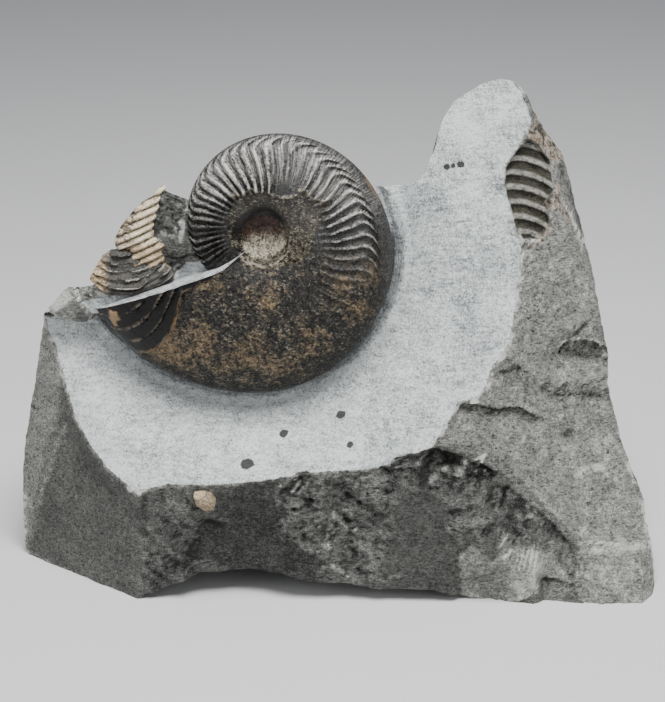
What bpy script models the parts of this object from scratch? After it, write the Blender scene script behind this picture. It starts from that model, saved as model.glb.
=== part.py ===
"""An ammonite fossil half freed from its block of dark shale, in metres, +Z up.

The block stands on a flat base. A smooth bowl is worked into its front, round a large ribbed
ammonite whose far half is still in the stone. Beside the bowl a second shell has left a ribbed
hollow on the right, and a piece of its ribbed shell on the upper left. A chip of shell shows in
the front face. The near side looks along -Y and the origin is the middle of the base.
"""

import math

import bmesh
import bpy
from mathutils import Matrix, Vector, noise

MM = 0.001
TURN = math.tau

# The coil: a spiral whose radius grows by a fixed share in each turn
COIL_CENTRE = (-26, -12, 136.6)
COIL_YAW = math.radians(6)
COIL_LEAN = math.radians(4)
START_RADIUS = 30
GROWTH = 0.155
SHOULDER_RADIUS = 8.2
SHOULDER_GAIN = 0.69
SHOULDER_SHARE_LEAST = 0.15
SEAM_SHARE = 0.72
WALL_ROUNDNESS = 0.7
HALF_THICKNESS_SHARE = 0.235
FATTEST_AT = 0.32
SHOULDER_DROP = 0.28
RIM_FULLNESS = 2.6
RIM_ROUNDNESS = 0.55
INNER_WHORLS = 2
HUB_HEIGHT = 0.8

# The broken mouth: a straight line across the coil, a little below its centre
MOUTH_ANGLE = math.radians(200.1)
MOUTH_OFFSET = 3.5
MOUTH_BLEND = math.radians(50)

# Sickle-shaped ribs: back to mid flank, then forward to the rim
RIBS_PER_TURN = 50
RIBBED_TURN = math.radians(228)
RIB_HEIGHT = 0.55
SICKLE_BACK = math.radians(8)
SICKLE_FORWARD = math.radians(9)
SICKLE_BACK_TO = 0.85
SICKLE_FORWARD_FROM = 0.7
RIB_FADE_OLD = math.radians(28)
RIB_FADE_NEW = math.radians(17)
RIB_FADE_FOOT = 0.3
RIB_FADE_RIM = (0.87, 0.97)
PLAIN_STEP = math.radians(8)
HUB_RADII = (2.5, 4.6, 6.6, 8.5)
FRONT_SHARES = (0.035, 0.07, 0.13, 0.24, 0.37, 0.5, 0.63, 0.76, 0.87, 0.95, 1.0)
BACK_SHARES = (0.93, 0.62, 0.25)
BACK_HUB_HEIGHT = 6
POCKET_GAP = 0.55
MOUTH_LEAD = 1.7
POCKET_SECTIONS = 52

# The bowl: a dished sheet through these terms, drawn in to the coil's mid plane near the shell
BOWL_LEVEL = 100
BOWL_DEPTH = -22
BOWL_RISE = 0.54
BOWL_RISE_BEND = -0.0017
BOWL_SIDE = -0.06
BOWL_TWIST = 0.0003
BOWL_SIDE_BEND = 0.0015
SHELF_CORNER = (-100, 98.5)
SHELF_SLOPE = -0.12
SHELF_END = -92
SHELF_STEP = 3
CONTACT_DEPTH = -5
CONTACT_REACH = 28
BOWL_STEP = 7.5
BOWL_MIDDLE = (-5, 118)
BOWL_HALF_SIZES = (135, 90)

# The block's edge as seen from the front, from the left foot over the top to the right foot
BLOCK_EDGE = (
    (-126, -11, -8), (-126, -10, 8), (-121.5, -4, 50), (-114.8, 3.4, 98), (-107.5, 4, 109.5),
    (-95, 1, 109), (-92, 1, 117), (-83, 1, 125), (-81.5, 1, 134), (-74, 1, 140),
    (-64, 0.5, 149), (-55.6, -1, 150.5), (-38, -6, 146), (0, -9, 148), (18, -10, 154.5),
    (33.7, -3, 155.2), (39.8, 6, 165), (42.9, 10, 175.7), (47.6, 13, 183), (57.3, 15.5, 188.4),
    (65.4, 18, 190.5), (73.4, 19.5, 186), (84.5, 23, 168), (91, 23, 160), (96.8, 18, 141),
    (102.5, 8, 119.5), (105.6, -5, 99), (110, -8, 87.4), (108.5, -14, 75), (113.6, -18, 61.5),
    (120.5, -25, 38.7), (125, -33, 16), (127, -39, -8),
)
BLOCK_MIDDLE = (20, 80)
FRONT_REACH = -95
FRONT_FLARE = 1.05
RINGS_BEHIND = ((12, 0.995, 0.0032), (36, 0.965, 0.0040), (57, 0.90, 0.0048), (64, 0.72, 0.0060))
BACK_MIDDLE = (16, 67, 68)
STONE_BUMP = 2.4
STONE_BUMP_SIZE = 26
NOISE_SEED = 1

# Fracture faces: a point on each and the way it faces
LEFT_FACE = ((-126, -11.2, 0), (-0.62, -0.77, 0.17))
RIGHT_FACE = ((37, -46, 61.4), (0.32, -0.87, 0.37))
FRONT_FACE = ((0, -52.5, 20), (-0.03, -1, 0.04))
CORNER_FACE = ((-75, -52.3, 0), (-0.23, -0.955, 0.187))
HEEL_FACE = ((112, -50.5, 10), (0.45, -0.89, -0.05))
EDGE_FACE = ((89, 7.6, 142.5), (0.74, -0.5, 0.45))
BASE_FACE = ((0, 0, 0), (0, 0, -1))

# Shell-shaped scars: centre, half sizes, turn about +Z in degrees
SCARS = (
    ("left_hollow", (-40, -74, 20), (36, 27.5, 50), 0),
    ("middle_scar", (2, -70, 27), (36, 20.5, 42), 3),
    ("rim_break", (41, -57, 55), (17, 14, 8), 14),
    ("toe_scar", (92, -60, 15), (22, 17, 19), 20),
    ("right_flake", (62, -68, 2), (26, 17, 24), 6),
    ("low_flake", (112, -49, 34), (20, 13, 18), 20),
    ("side_flake", (99, -15, 92), (22, 8, 15), 20),
    ("back_hollow", (-40, 72, 70), (46, 14, 52), 0),
    ("back_flake", (58, 70, 40), (38, 12, 34), 0),
)
SCAR_UNEVENNESS = 0.10
SCAR_FACETS = 2.3
BASE_ARCH = ((-6, -58, -3), (62, 30, 11.5))
LEDGE_CORNERS = ((45, 77), (86, 65), (66, 42))
LEDGE_DEPTH = 3.6
LEDGE_DEEP_AT = (0.2, 0.75)
LEDGE_LIFT = 9
PIT = ((93, -26.5, 57.5), 3.2)

# The second shell: its hollow on the right and its shell on the upper left
IMPRINT_EDGE = (
    (76.5, 167), (72, 163), (67.8, 157), (67.3, 150), (69.5, 143), (71.3, 136), (74.7, 130.5),
    (82, 130), (85.3, 135), (84.5, 141), (87, 148), (85.8, 157), (81, 164),
)
IMPRINT_DEPTH = 3.4
IMPRINT_RIB = 1.1
IMPRINT_RIB_PITCH = 5.2
IMPRINT_RIB_SLOPE = math.radians(8)
FRAGMENT_EDGE = (
    (-65, 151.4), (-69.5, 147), (-76.6, 142), (-84.6, 131), (-84.8, 125.5), (-80.5, 125),
    (-80.4, 119), (-75, 116.5), (-69, 116.8), (-66, 122), (-65.5, 129), (-69, 133), (-66.5, 143),
)
FRAGMENT_FRONT = -2.5
FRAGMENT_BACK = 11
FRAGMENT_RIB = 1.0
FRAGMENT_RIB_PITCH = 4.6
FRAGMENT_RIB_SLOPE = math.radians(24)
LAYERS_EDGE = (
    (-94, 118), (-91, 122), (-84, 120), (-78, 119), (-68, 119.5), (-63, 119), (-60, 116.5),
    (-69, 111.5), (-84, 110), (-94.5, 112),
)
LAYERS_FRONT = -1.5
LAYERS_BACK = 10
LAYERS_RIB = 0.7
LAYERS_RIB_PITCH = 3.6
LAYERS_RIB_SLOPE = math.radians(-8)
CHIP_EDGE = ((-53, 45.2), (-52.6, 41), (-49.8, 39.6), (-47.4, 42), (-48.5, 45.4))
CHIP_FRONT = -54.3
CHIP_BACK = -47.5
SHELL_GAP = 0.3
SLAB_COLUMNS = 4

# How far the cutting solids reach past the block
CUTTER_REACH = 400
CLEAR_FRONT = -135
CLEAR_BACK = 60

# The drawing's own origin is moved by this to put the middle of the base at 0, 0, 0
TO_ORIGIN = (0, -5.6, 0)

COLOURS = {
    "matrix": (0.115, 0.12, 0.125),
    "ammonite": (0.05, 0.042, 0.035),
    "shell_fragment": (0.50, 0.42, 0.29),
    "shell_chip": (0.42, 0.34, 0.26),
}
ROUGHNESS = {"matrix": 0.85, "ammonite": 0.4, "shell_fragment": 0.7, "shell_chip": 0.7}


def metres(point):
    return Vector(point) * MM


def coil_axes():
    """The coil's own frame: right and up in its mid plane, and out of its near flank."""
    right = Vector((math.cos(COIL_YAW), -math.sin(COIL_YAW), 0))
    out = Vector((
        -math.sin(COIL_YAW) * math.cos(COIL_LEAN),
        -math.cos(COIL_YAW) * math.cos(COIL_LEAN),
        math.sin(COIL_LEAN),
    ))
    return right, out.cross(right), out


def coil_matrix():
    right, up, out = coil_axes()
    turned = Matrix((right, up, out)).transposed().to_4x4()
    return Matrix.Translation(metres(COIL_CENTRE)) @ turned


def coil_radius(growth_angle):
    return START_RADIUS * math.exp(GROWTH * growth_angle)


def shoulder_radius(growth_angle):
    least = SHOULDER_SHARE_LEAST * coil_radius(growth_angle)
    return max(least, SHOULDER_RADIUS + SHOULDER_GAIN * growth_angle)


def crown(share):
    """Half thickness of a whorl, in outer radii, from its shoulder (0) to its rim (1)."""
    if share < FATTEST_AT:
        return HALF_THICKNESS_SHARE * (1 - SHOULDER_DROP * ((FATTEST_AT - share) / FATTEST_AT) ** 3)
    reach = (share - FATTEST_AT) / (1 - FATTEST_AT)
    return HALF_THICKNESS_SHARE * max(0, 1 - reach**RIM_FULLNESS) ** RIM_ROUNDNESS


def flank_height(radius, growth_angle, level=0):
    """Height of the near flank over the mid plane, with the older whorls inside the navel."""
    outer = coil_radius(growth_angle)
    shoulder = shoulder_radius(growth_angle)
    seam = SEAM_SHARE * shoulder
    if level > INNER_WHORLS:
        return HUB_HEIGHT
    if radius < seam:
        return flank_height(radius, growth_angle - TURN, level + 1)
    if radius < shoulder:
        floor = flank_height(seam, growth_angle - TURN, level + 1)
        climb = ((radius - seam) / (shoulder - seam)) ** WALL_ROUNDNESS
        return floor + (outer * crown(0) - floor) * climb
    return outer * crown((radius - shoulder) / (outer - shoulder))


def sickle(share):
    """How far a rib line runs ahead of its foot, as an angle."""
    back = -SICKLE_BACK * math.sin(math.pi * min(share / SICKLE_BACK_TO, 1))
    reach = (share - SICKLE_FORWARD_FROM) / (1 - SICKLE_FORWARD_FROM)
    forward = SICKLE_FORWARD * max(0, reach) ** 2
    return back + forward


def mouth_lag(radius):
    return math.asin(min(1, MOUTH_OFFSET / max(radius, HUB_RADII[-1])))


def growth_at(sweep, radius, share):
    """Growth angle of a point on the section that has swept this far from the mouth line."""
    base = math.pi - MOUTH_ANGLE + sweep
    on_mouth = base - mouth_lag(radius)
    on_rib = base - mouth_lag(HUB_RADII[-1]) / 2 + sickle(share)
    to_end = min(sweep, TURN - sweep) / MOUTH_BLEND
    ease = min(to_end, 1)
    ease = ease * ease * (3 - 2 * ease)
    return on_mouth + (on_rib - on_mouth) * ease


def shell_row(sweep, share, gap):
    """Radius and growth angle of a row that lies this share of the way from hub to rim."""
    hub = HUB_RADII[-1]
    growth = math.pi - MOUTH_ANGLE + sweep
    radius = hub
    for _ in range(4):
        radius = hub + (coil_radius(growth) - hub) * share
        growth = growth_at(sweep, radius, share)
    return radius + gap * share, growth


def rib_relief(sweep, share, crest):
    """A rib's crest or valley over the flank, faded at its foot, at its tip and past the ribs."""
    start, end = RIB_FADE_RIM
    fade = min(1, max(0, (RIBBED_TURN - sweep) / RIB_FADE_OLD)) * min(1, sweep / RIB_FADE_NEW)
    along = min(1, share / RIB_FADE_FOOT) * min(1, max(0, (end - share) / (end - start)))
    return crest * RIB_HEIGHT * fade * along


def polar(radius, growth, height):
    angle = math.pi - growth
    return metres((radius * math.cos(angle), radius * math.sin(angle), height))


def shell_mesh(name, sweeps, ribs, gap):
    """A closed coil: sections that sweep once round, closed by the mouth's face."""
    shell = bmesh.new()
    front_pole = shell.verts.new(metres((0, 0, HUB_HEIGHT + gap)))
    back_pole = shell.verts.new(metres((0, 0, -BACK_HUB_HEIGHT - gap)))
    sections = []
    for index, sweep in enumerate(sweeps):
        crest = (1 if index % 2 else -1) if ribs else 0
        last = index == len(sweeps) - 1
        row = []
        for number, radius in enumerate(HUB_RADII):
            if last:
                row.append(sections[0][number])
                continue
            growth = growth_at(sweep, radius, 0)
            height = flank_height(radius, growth) + gap
            row.append(shell.verts.new(polar(radius, growth, height)))
        for share in FRONT_SHARES:
            radius, growth = shell_row(sweep, share, gap)
            growth += MOUTH_LEAD * gap / radius if last or index == 0 else 0
            height = 0
            if share < 1:
                height = flank_height(radius - gap * share, growth) + gap
                height += rib_relief(sweep, share, crest)
            row.append(shell.verts.new(polar(radius, growth, height)))
        for share in BACK_SHARES:
            radius, growth = shell_row(sweep, share, gap)
            growth += MOUTH_LEAD * gap / radius if last or index == 0 else 0
            height = flank_height(radius - gap * share, growth) + gap
            row.append(shell.verts.new(polar(radius, growth, -height)))
        if last:
            row.append(sections[0][-1])
        else:
            growth = growth_at(sweep, HUB_RADII[-1], 0)
            row.append(shell.verts.new(polar(HUB_RADII[-1], growth, -BACK_HUB_HEIGHT - gap)))
        sections.append(row)
    for this, other in zip(sections, sections[1:]):
        shell.faces.new((front_pole, this[0], other[0]))
        shell.faces.new((back_pole, other[-1], this[-1]))
        for row in range(len(this) - 1):
            shell.faces.new((this[row], this[row + 1], other[row + 1], other[row]))
    first, final = sections[0], sections[-1]
    for row in range(len(HUB_RADII) - 1, len(first) - 1):
        corners = [first[row], first[row + 1], final[row + 1], final[row]]
        shell.faces.new(list(dict.fromkeys(corners)))
    bmesh.ops.triangulate(shell, faces=shell.faces)
    bmesh.ops.recalc_face_normals(shell, faces=shell.faces)
    return finished_mesh(name, shell)


def ribbed_sweeps():
    half_rib = TURN / RIBS_PER_TURN / 2
    count = round(RIBBED_TURN / half_rib)
    sweeps = [half_rib * index for index in range(count + 1)]
    plain = math.ceil((TURN - sweeps[-1]) / PLAIN_STEP)
    step = (TURN - sweeps[-1]) / plain
    return sweeps + [sweeps[-1] + step * (index + 1) for index in range(plain)]


def shell_outline(count=72):
    """The coil's rim in the block's X and Z, closed along the mouth."""
    right, up, _ = coil_axes()
    points = []
    for index in range(count):
        radius, growth = shell_row(TURN * index / (count - 1), 1, 0)
        angle = math.pi - growth
        at = right * (radius * math.cos(angle)) + up * (radius * math.sin(angle))
        points.append((COIL_CENTRE[0] + at.x, COIL_CENTRE[2] + at.z))
    return points


def distance_outside(x, z, outline):
    """Distance from a point to a closed outline, negative inside."""
    nearest = math.inf
    inside = False
    for (x1, z1), (x2, z2) in zip(outline, outline[1:] + outline[:1]):
        run, rise = x2 - x1, z2 - z1
        length = max(run * run + rise * rise, 1e-9)
        along = min(1, max(0, ((x - x1) * run + (z - z1) * rise) / length))
        nearest = min(nearest, math.hypot(x - x1 - along * run, z - z1 - along * rise))
        if (z1 > z) != (z2 > z) and x < x1 + run * (z - z1) / rise:
            inside = not inside
    return -nearest if inside else nearest


def coil_plane_y(x, z, height=0):
    """Y of the plane that lies this far over the coil's mid plane."""
    out = coil_axes()[2]
    over = height - (x - COIL_CENTRE[0]) * out.x - (z - COIL_CENTRE[2]) * out.z
    return COIL_CENTRE[1] + over / out.y


def bowl_y(x, z, outline):
    """Y of the worked surface round the shell."""
    rise = z - BOWL_LEVEL
    sheet = BOWL_DEPTH + BOWL_RISE * rise + BOWL_RISE_BEND * rise * rise + BOWL_SIDE * x
    sheet += BOWL_TWIST * x * rise + BOWL_SIDE_BEND * x * x
    over_shelf = z - SHELF_CORNER[1] - SHELF_SLOPE * (x - SHELF_CORNER[0])
    if over_shelf > 0 and x < SHELF_END:
        sheet -= SHELF_STEP
    near = 1 - distance_outside(x, z, outline) / CONTACT_REACH
    near = min(1, max(0, near))
    near = near * near * (3 - 2 * near)
    return sheet + (coil_plane_y(x, z, CONTACT_DEPTH) - sheet) * near


def face_y(face, x, z):
    """Y of a fracture face at X and Z."""
    (px, py, pz), (nx, ny, nz) = face
    return py - ((x - px) * nx + (z - pz) * nz) / ny


def material(name):
    made = bpy.data.materials.new(name)
    made.use_nodes = True
    shader = made.node_tree.nodes["Principled BSDF"]
    shader.inputs["Base Color"].default_value = (*COLOURS[name], 1)
    shader.inputs["Roughness"].default_value = ROUGHNESS[name]
    shader.inputs["Metallic"].default_value = 0
    return made


def collection(name):
    made = bpy.data.collections.new(name)
    bpy.context.scene.collection.children.link(made)
    return made


def finished_mesh(name, mesh_in_progress):
    mesh = bpy.data.meshes.new(name)
    mesh_in_progress.to_mesh(mesh)
    mesh_in_progress.free()
    return mesh


def place(name, mesh, where, parent, matrix=None):
    thing = bpy.data.objects.new(name, mesh)
    where.objects.link(thing)
    thing.parent = parent
    thing.matrix_local = matrix or Matrix.Identity(4)
    return thing


def hide_cutter(cutter):
    cutter.hide_render = True
    cutter.display_type = "WIRE"
    return cutter


def join(target, other, operation="DIFFERENCE"):
    step = target.modifiers.new(other.name, "BOOLEAN")
    step.operation = operation
    step.solver = "EXACT"
    step.object = other


def half_space(name, face, where, parent):
    """A big cube whose underside lies on a fracture face."""
    point, normal = face
    cube = bmesh.new()
    lift = Matrix.Translation(metres((0, 0, CUTTER_REACH / 2)))
    bmesh.ops.create_cube(cube, size=CUTTER_REACH * MM, matrix=lift)
    turned = Vector(normal).to_track_quat("Z", "Y").to_matrix().to_4x4()
    matrix = Matrix.Translation(metres(point)) @ turned
    return hide_cutter(place(name, finished_mesh(name, cube), where, parent, matrix))


def scar(name, centre, half_sizes, turn, where, parent):
    """A flattened, uneven ball that leaves a shell-shaped hollow."""
    ball = bmesh.new()
    bmesh.ops.create_icosphere(ball, subdivisions=3, radius=1)
    for vert in ball.verts:
        vert.co *= 1 + SCAR_UNEVENNESS * noise.noise(vert.co * SCAR_FACETS + Vector(centre))
    turned = Matrix.Rotation(math.radians(turn), 4, "Z") @ Matrix.Diagonal((*metres(half_sizes), 1))
    bmesh.ops.transform(ball, matrix=turned, verts=ball.verts)
    matrix = Matrix.Translation(metres(centre))
    return hide_cutter(place(name, finished_mesh(name, ball), where, parent, matrix))


def ledge_cutter(where, parent):
    """A dent under the ledge: deepest along its top line, running out at its three corners."""
    out = Vector(RIGHT_FACE[1]).normalized()
    corners = [Vector((x, face_y(RIGHT_FACE, x, z), z)) for x, z in LEDGE_CORNERS]
    start, end, foot = corners
    deep = [start.lerp(end, share) - out * LEDGE_DEPTH for share in LEDGE_DEEP_AT]
    lifted = [corner + out * LEDGE_LIFT for corner in corners]
    dent = bmesh.new()
    for corner in lifted + corners + deep:
        dent.verts.new(corner * MM)
    bmesh.ops.convex_hull(dent, input=dent.verts)
    bmesh.ops.recalc_face_normals(dent, faces=dent.faces)
    return hide_cutter(place("ledge", finished_mesh("ledge", dent), where, parent))


def prism(name, edge, front, back, where, parent):
    """A solid between two depths along Y, whose outline is given in X and Z."""
    solid = bmesh.new()
    face = solid.faces.new([solid.verts.new(metres((x, front, z))) for x, z in edge])
    pushed = bmesh.ops.extrude_face_region(solid, geom=[face])["geom"]
    moved = [item for item in pushed if isinstance(item, bmesh.types.BMVert)]
    bmesh.ops.translate(solid, verts=moved, vec=metres((0, back - front, 0)))
    bmesh.ops.recalc_face_normals(solid, faces=solid.faces)
    return place(name, finished_mesh(name, solid), where, parent)


def ribbed_slab(name, edge, surface_y, rib, pitch, slope, back, where, parent):
    """A slab behind a zigzag sheet, trimmed to an outline given in X and Z."""
    xs, zs = [x for x, _ in edge], [z for _, z in edge]
    middle = ((min(xs) + max(xs)) / 2, (min(zs) + max(zs)) / 2)
    reach = math.hypot(max(xs) - min(xs), max(zs) - min(zs)) / 2 + pitch
    count = 2 * math.ceil(reach / pitch)
    slab = bmesh.new()
    lines = []
    for index in range(-count, count + 1):
        crest = rib if index % 2 else -rib
        line = []
        for column in range(SLAB_COLUMNS):
            along = (2 * column / (SLAB_COLUMNS - 1) - 1) * reach
            across = index * pitch / 2
            x = middle[0] + along * math.cos(slope) - across * math.sin(slope)
            z = middle[1] + along * math.sin(slope) + across * math.cos(slope)
            line.append((x, surface_y(x, z) - crest, z))
        lines.append([slab.verts.new(metres(point)) for point in line])
    for lower, upper in zip(lines, lines[1:]):
        for column in range(SLAB_COLUMNS - 1):
            slab.faces.new((lower[column], lower[column + 1], upper[column + 1], upper[column]))
    pushed = bmesh.ops.extrude_face_region(slab, geom=slab.faces[:])["geom"]
    for item in pushed:
        if isinstance(item, bmesh.types.BMVert):
            item.co.y = back * MM
    bmesh.ops.recalc_face_normals(slab, faces=slab.faces)
    return place(name, finished_mesh(name, slab), where, parent)


def grown(edge, gap):
    """The same outline, with each corner pushed out from its middle by twice the gap."""
    cx = sum(x for x, _ in edge) / len(edge)
    cz = sum(z for _, z in edge) / len(edge)
    moved = []
    for x, z in edge:
        length = math.hypot(x - cx, z - cz)
        push = 1 + 2 * gap / length
        moved.append((cx + (x - cx) * push, cz + (z - cz) * push))
    return moved


def block_mesh():
    """The rough block: its front edge, pushed forward and drawn in towards the back."""
    stone = bmesh.new()
    cx, cz = BLOCK_MIDDLE
    rings = [[
        (cx + (x - cx) * FRONT_FLARE, FRONT_REACH, cz + (z - cz) * FRONT_FLARE)
        for x, _, z in BLOCK_EDGE
    ]]
    rings.append(list(BLOCK_EDGE))
    for depth, width, droop in RINGS_BEHIND:
        ring = []
        for x, y, z in BLOCK_EDGE:
            lowered = z * (1 - droop * max(0, depth - y)) if z > 0 else z
            ring.append((x * width, max(depth, y + 2), lowered))
        rings.append(ring)
    made = []
    for number, ring in enumerate(rings):
        row = []
        for x, y, z in ring:
            at = Vector((x, y, z))
            if number > 1:
                shift = noise.noise_vector(at / STONE_BUMP_SIZE)
                at += shift * STONE_BUMP
            row.append(stone.verts.new(metres(at)))
        made.append(row)
    for near, far in zip(made, made[1:]):
        for index in range(len(near)):
            after = (index + 1) % len(near)
            stone.faces.new((near[index], near[after], far[after], far[index]))
    front = stone.verts.new(metres((cx, FRONT_REACH, cz)))
    back = stone.verts.new(metres(BACK_MIDDLE))
    for index in range(len(BLOCK_EDGE)):
        after = (index + 1) % len(BLOCK_EDGE)
        stone.faces.new((made[0][after], made[0][index], front))
        stone.faces.new((made[-1][index], made[-1][after], back))
    bmesh.ops.triangulate(stone, faces=stone.faces)
    bmesh.ops.recalc_face_normals(stone, faces=stone.faces)
    return finished_mesh("matrix", stone)


def bowl_cutter(outline, where, parent):
    """Everything in front of the worked surface."""
    across, upward = (math.ceil(2 * half / BOWL_STEP) for half in BOWL_HALF_SIZES)
    grid = bmesh.new()
    bmesh.ops.create_grid(grid, x_segments=across, y_segments=upward, size=1)
    for vert in grid.verts:
        x = BOWL_MIDDLE[0] + vert.co.x * BOWL_HALF_SIZES[0]
        z = BOWL_MIDDLE[1] + vert.co.y * BOWL_HALF_SIZES[1]
        vert.co = metres((x, bowl_y(x, z, outline), z))
    pushed = bmesh.ops.extrude_face_region(grid, geom=grid.faces[:])["geom"]
    for item in pushed:
        if isinstance(item, bmesh.types.BMVert):
            item.co.y = CLEAR_FRONT * MM
    bmesh.ops.triangulate(grid, faces=grid.faces)
    bmesh.ops.recalc_face_normals(grid, faces=grid.faces)
    return hide_cutter(place("bowl", finished_mesh("bowl", grid), where, parent))


def imprint_cutter(where, parent):
    """The hollow left by the second shell: its ribs stand up from the floor."""
    def floor_y(x, z):
        return face_y(RIGHT_FACE, x, z) + IMPRINT_DEPTH

    solid = ribbed_slab(
        "imprint", IMPRINT_EDGE, floor_y, IMPRINT_RIB, IMPRINT_RIB_PITCH, IMPRINT_RIB_SLOPE,
        CLEAR_FRONT, where, parent,
    )
    trim = prism("imprint_trim", IMPRINT_EDGE, CLEAR_FRONT - 1, CLEAR_BACK, where, parent)
    join(solid, hide_cutter(trim), "INTERSECT")
    return hide_cutter(solid)


def fragment_pieces(parts, cutters, parent):
    """The ribbed piece and the layered piece below it, grown together as one."""
    def upper_y(x, z):
        return coil_plane_y(x, z, FRAGMENT_FRONT)

    def lower_y(x, z):
        return coil_plane_y(x, z, LAYERS_FRONT)

    upper = ribbed_slab(
        "shell_fragment", FRAGMENT_EDGE, upper_y, FRAGMENT_RIB, FRAGMENT_RIB_PITCH,
        FRAGMENT_RIB_SLOPE, FRAGMENT_BACK, parts, parent,
    )
    trim = prism("fragment_trim", FRAGMENT_EDGE, CLEAR_FRONT, CLEAR_BACK, cutters, parent)
    join(upper, hide_cutter(trim), "INTERSECT")
    lower = ribbed_slab(
        "layers", LAYERS_EDGE, lower_y, LAYERS_RIB, LAYERS_RIB_PITCH, LAYERS_RIB_SLOPE,
        LAYERS_BACK, cutters, parent,
    )
    trim = prism("layers_trim", LAYERS_EDGE, CLEAR_FRONT, CLEAR_BACK, cutters, parent)
    join(lower, hide_cutter(trim), "INTERSECT")
    join(upper, hide_cutter(lower), "UNION")
    return upper


def build():
    noise.seed_set(NOISE_SEED)
    for old in list(bpy.data.objects):
        bpy.data.objects.remove(old)
    parts = collection("ammonite_in_matrix")
    cutters = collection("cutters")
    base = bpy.data.objects.new("base_middle", None)
    parts.objects.link(base)
    base.location = metres(TO_ORIGIN)
    outline = shell_outline()

    matrix = place("matrix", block_mesh(), parts, base)
    for name, face in (
        ("left_face", LEFT_FACE), ("right_face", RIGHT_FACE), ("front_face", FRONT_FACE),
        ("corner_face", CORNER_FACE), ("heel_face", HEEL_FACE), ("edge_face", EDGE_FACE),
        ("base_face", BASE_FACE),
    ):
        join(matrix, half_space(name, face, cutters, base))
    join(matrix, bowl_cutter(outline, cutters, base))
    for name, centre, half_sizes, turn in SCARS:
        join(matrix, scar(name, centre, half_sizes, turn, cutters, base))
    join(matrix, scar("base_arch", *BASE_ARCH, 0, cutters, base))
    join(matrix, ledge_cutter(cutters, base))
    join(matrix, scar("pit", PIT[0], (PIT[1],) * 3, 0, cutters, base))
    join(matrix, imprint_cutter(cutters, base))

    shell = shell_mesh("ammonite", ribbed_sweeps(), True, 0)
    ammonite = place("ammonite", shell, parts, base, coil_matrix())
    even = [TURN * index / POCKET_SECTIONS for index in range(POCKET_SECTIONS + 1)]
    hollow = shell_mesh("pocket", even, False, POCKET_GAP)
    pocket = hide_cutter(place("pocket", hollow, cutters, base, coil_matrix()))
    join(matrix, pocket)

    fragment = fragment_pieces(parts, cutters, base)
    join(fragment, pocket)
    for name, edge in (("fragment_seat", FRAGMENT_EDGE), ("layers_seat", LAYERS_EDGE)):
        seat_edge = grown(edge, SHELL_GAP)
        seat = prism(name, seat_edge, CLEAR_FRONT, FRAGMENT_BACK + SHELL_GAP, cutters, base)
        join(matrix, hide_cutter(seat))
    chip = prism("shell_chip", CHIP_EDGE, CHIP_FRONT, CHIP_BACK, parts, base)
    seat_edge = grown(CHIP_EDGE, SHELL_GAP)
    seat = prism("chip_seat", seat_edge, CLEAR_FRONT, CHIP_BACK + SHELL_GAP, cutters, base)
    join(matrix, hide_cutter(seat))

    for thing in (matrix, ammonite, fragment, chip):
        thing.data.materials.append(material(thing.name))


build()
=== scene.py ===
"""Dresses the block of shale and the ammonite in it: shapes, finishes, studio and camera.

Lengths written as plain numbers are millimetres in the block's own drawing, whose origin lies in
the base, a little in front of its middle. place_in_frame() moves them to the frame, in metres.
The other plain numbers in a sum are the weights of noises and masks, which run from 0 to 1.
"""

import math
from functools import partialmethod

import bmesh
import bpy
import numpy as np
from mathutils import Matrix, Vector, noise


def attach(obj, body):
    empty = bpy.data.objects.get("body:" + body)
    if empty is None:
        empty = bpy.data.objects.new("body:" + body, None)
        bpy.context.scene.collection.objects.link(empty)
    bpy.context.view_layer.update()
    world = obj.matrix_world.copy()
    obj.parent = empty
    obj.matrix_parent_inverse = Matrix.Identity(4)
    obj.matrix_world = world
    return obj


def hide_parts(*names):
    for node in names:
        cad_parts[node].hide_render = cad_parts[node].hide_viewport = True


bl_info = {
    "name": "Ammonite in Shale",
    "version": (1, 0, 0),
    "blender": (4, 5, 0),
    "location": "3D View > Sidebar > Fossil",
    "description": "Builds an ammonite half freed from its block of shale, and a plain studio",
    "category": "Object",
}

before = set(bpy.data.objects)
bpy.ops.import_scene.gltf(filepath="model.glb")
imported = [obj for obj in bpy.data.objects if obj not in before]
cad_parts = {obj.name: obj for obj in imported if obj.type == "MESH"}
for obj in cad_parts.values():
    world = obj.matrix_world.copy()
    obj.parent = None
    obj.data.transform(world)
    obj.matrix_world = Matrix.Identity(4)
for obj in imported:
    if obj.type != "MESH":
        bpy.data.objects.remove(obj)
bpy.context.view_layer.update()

MM = 0.001
TURN = math.tau
SHIFT_Y = -5.6


# -------------------- Settings

LENGTH = {"precision": 4, "unit": "LENGTH"}
COLOUR = {"min": 0, "max": 1, "size": 3, "subtype": "COLOR"}


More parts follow.
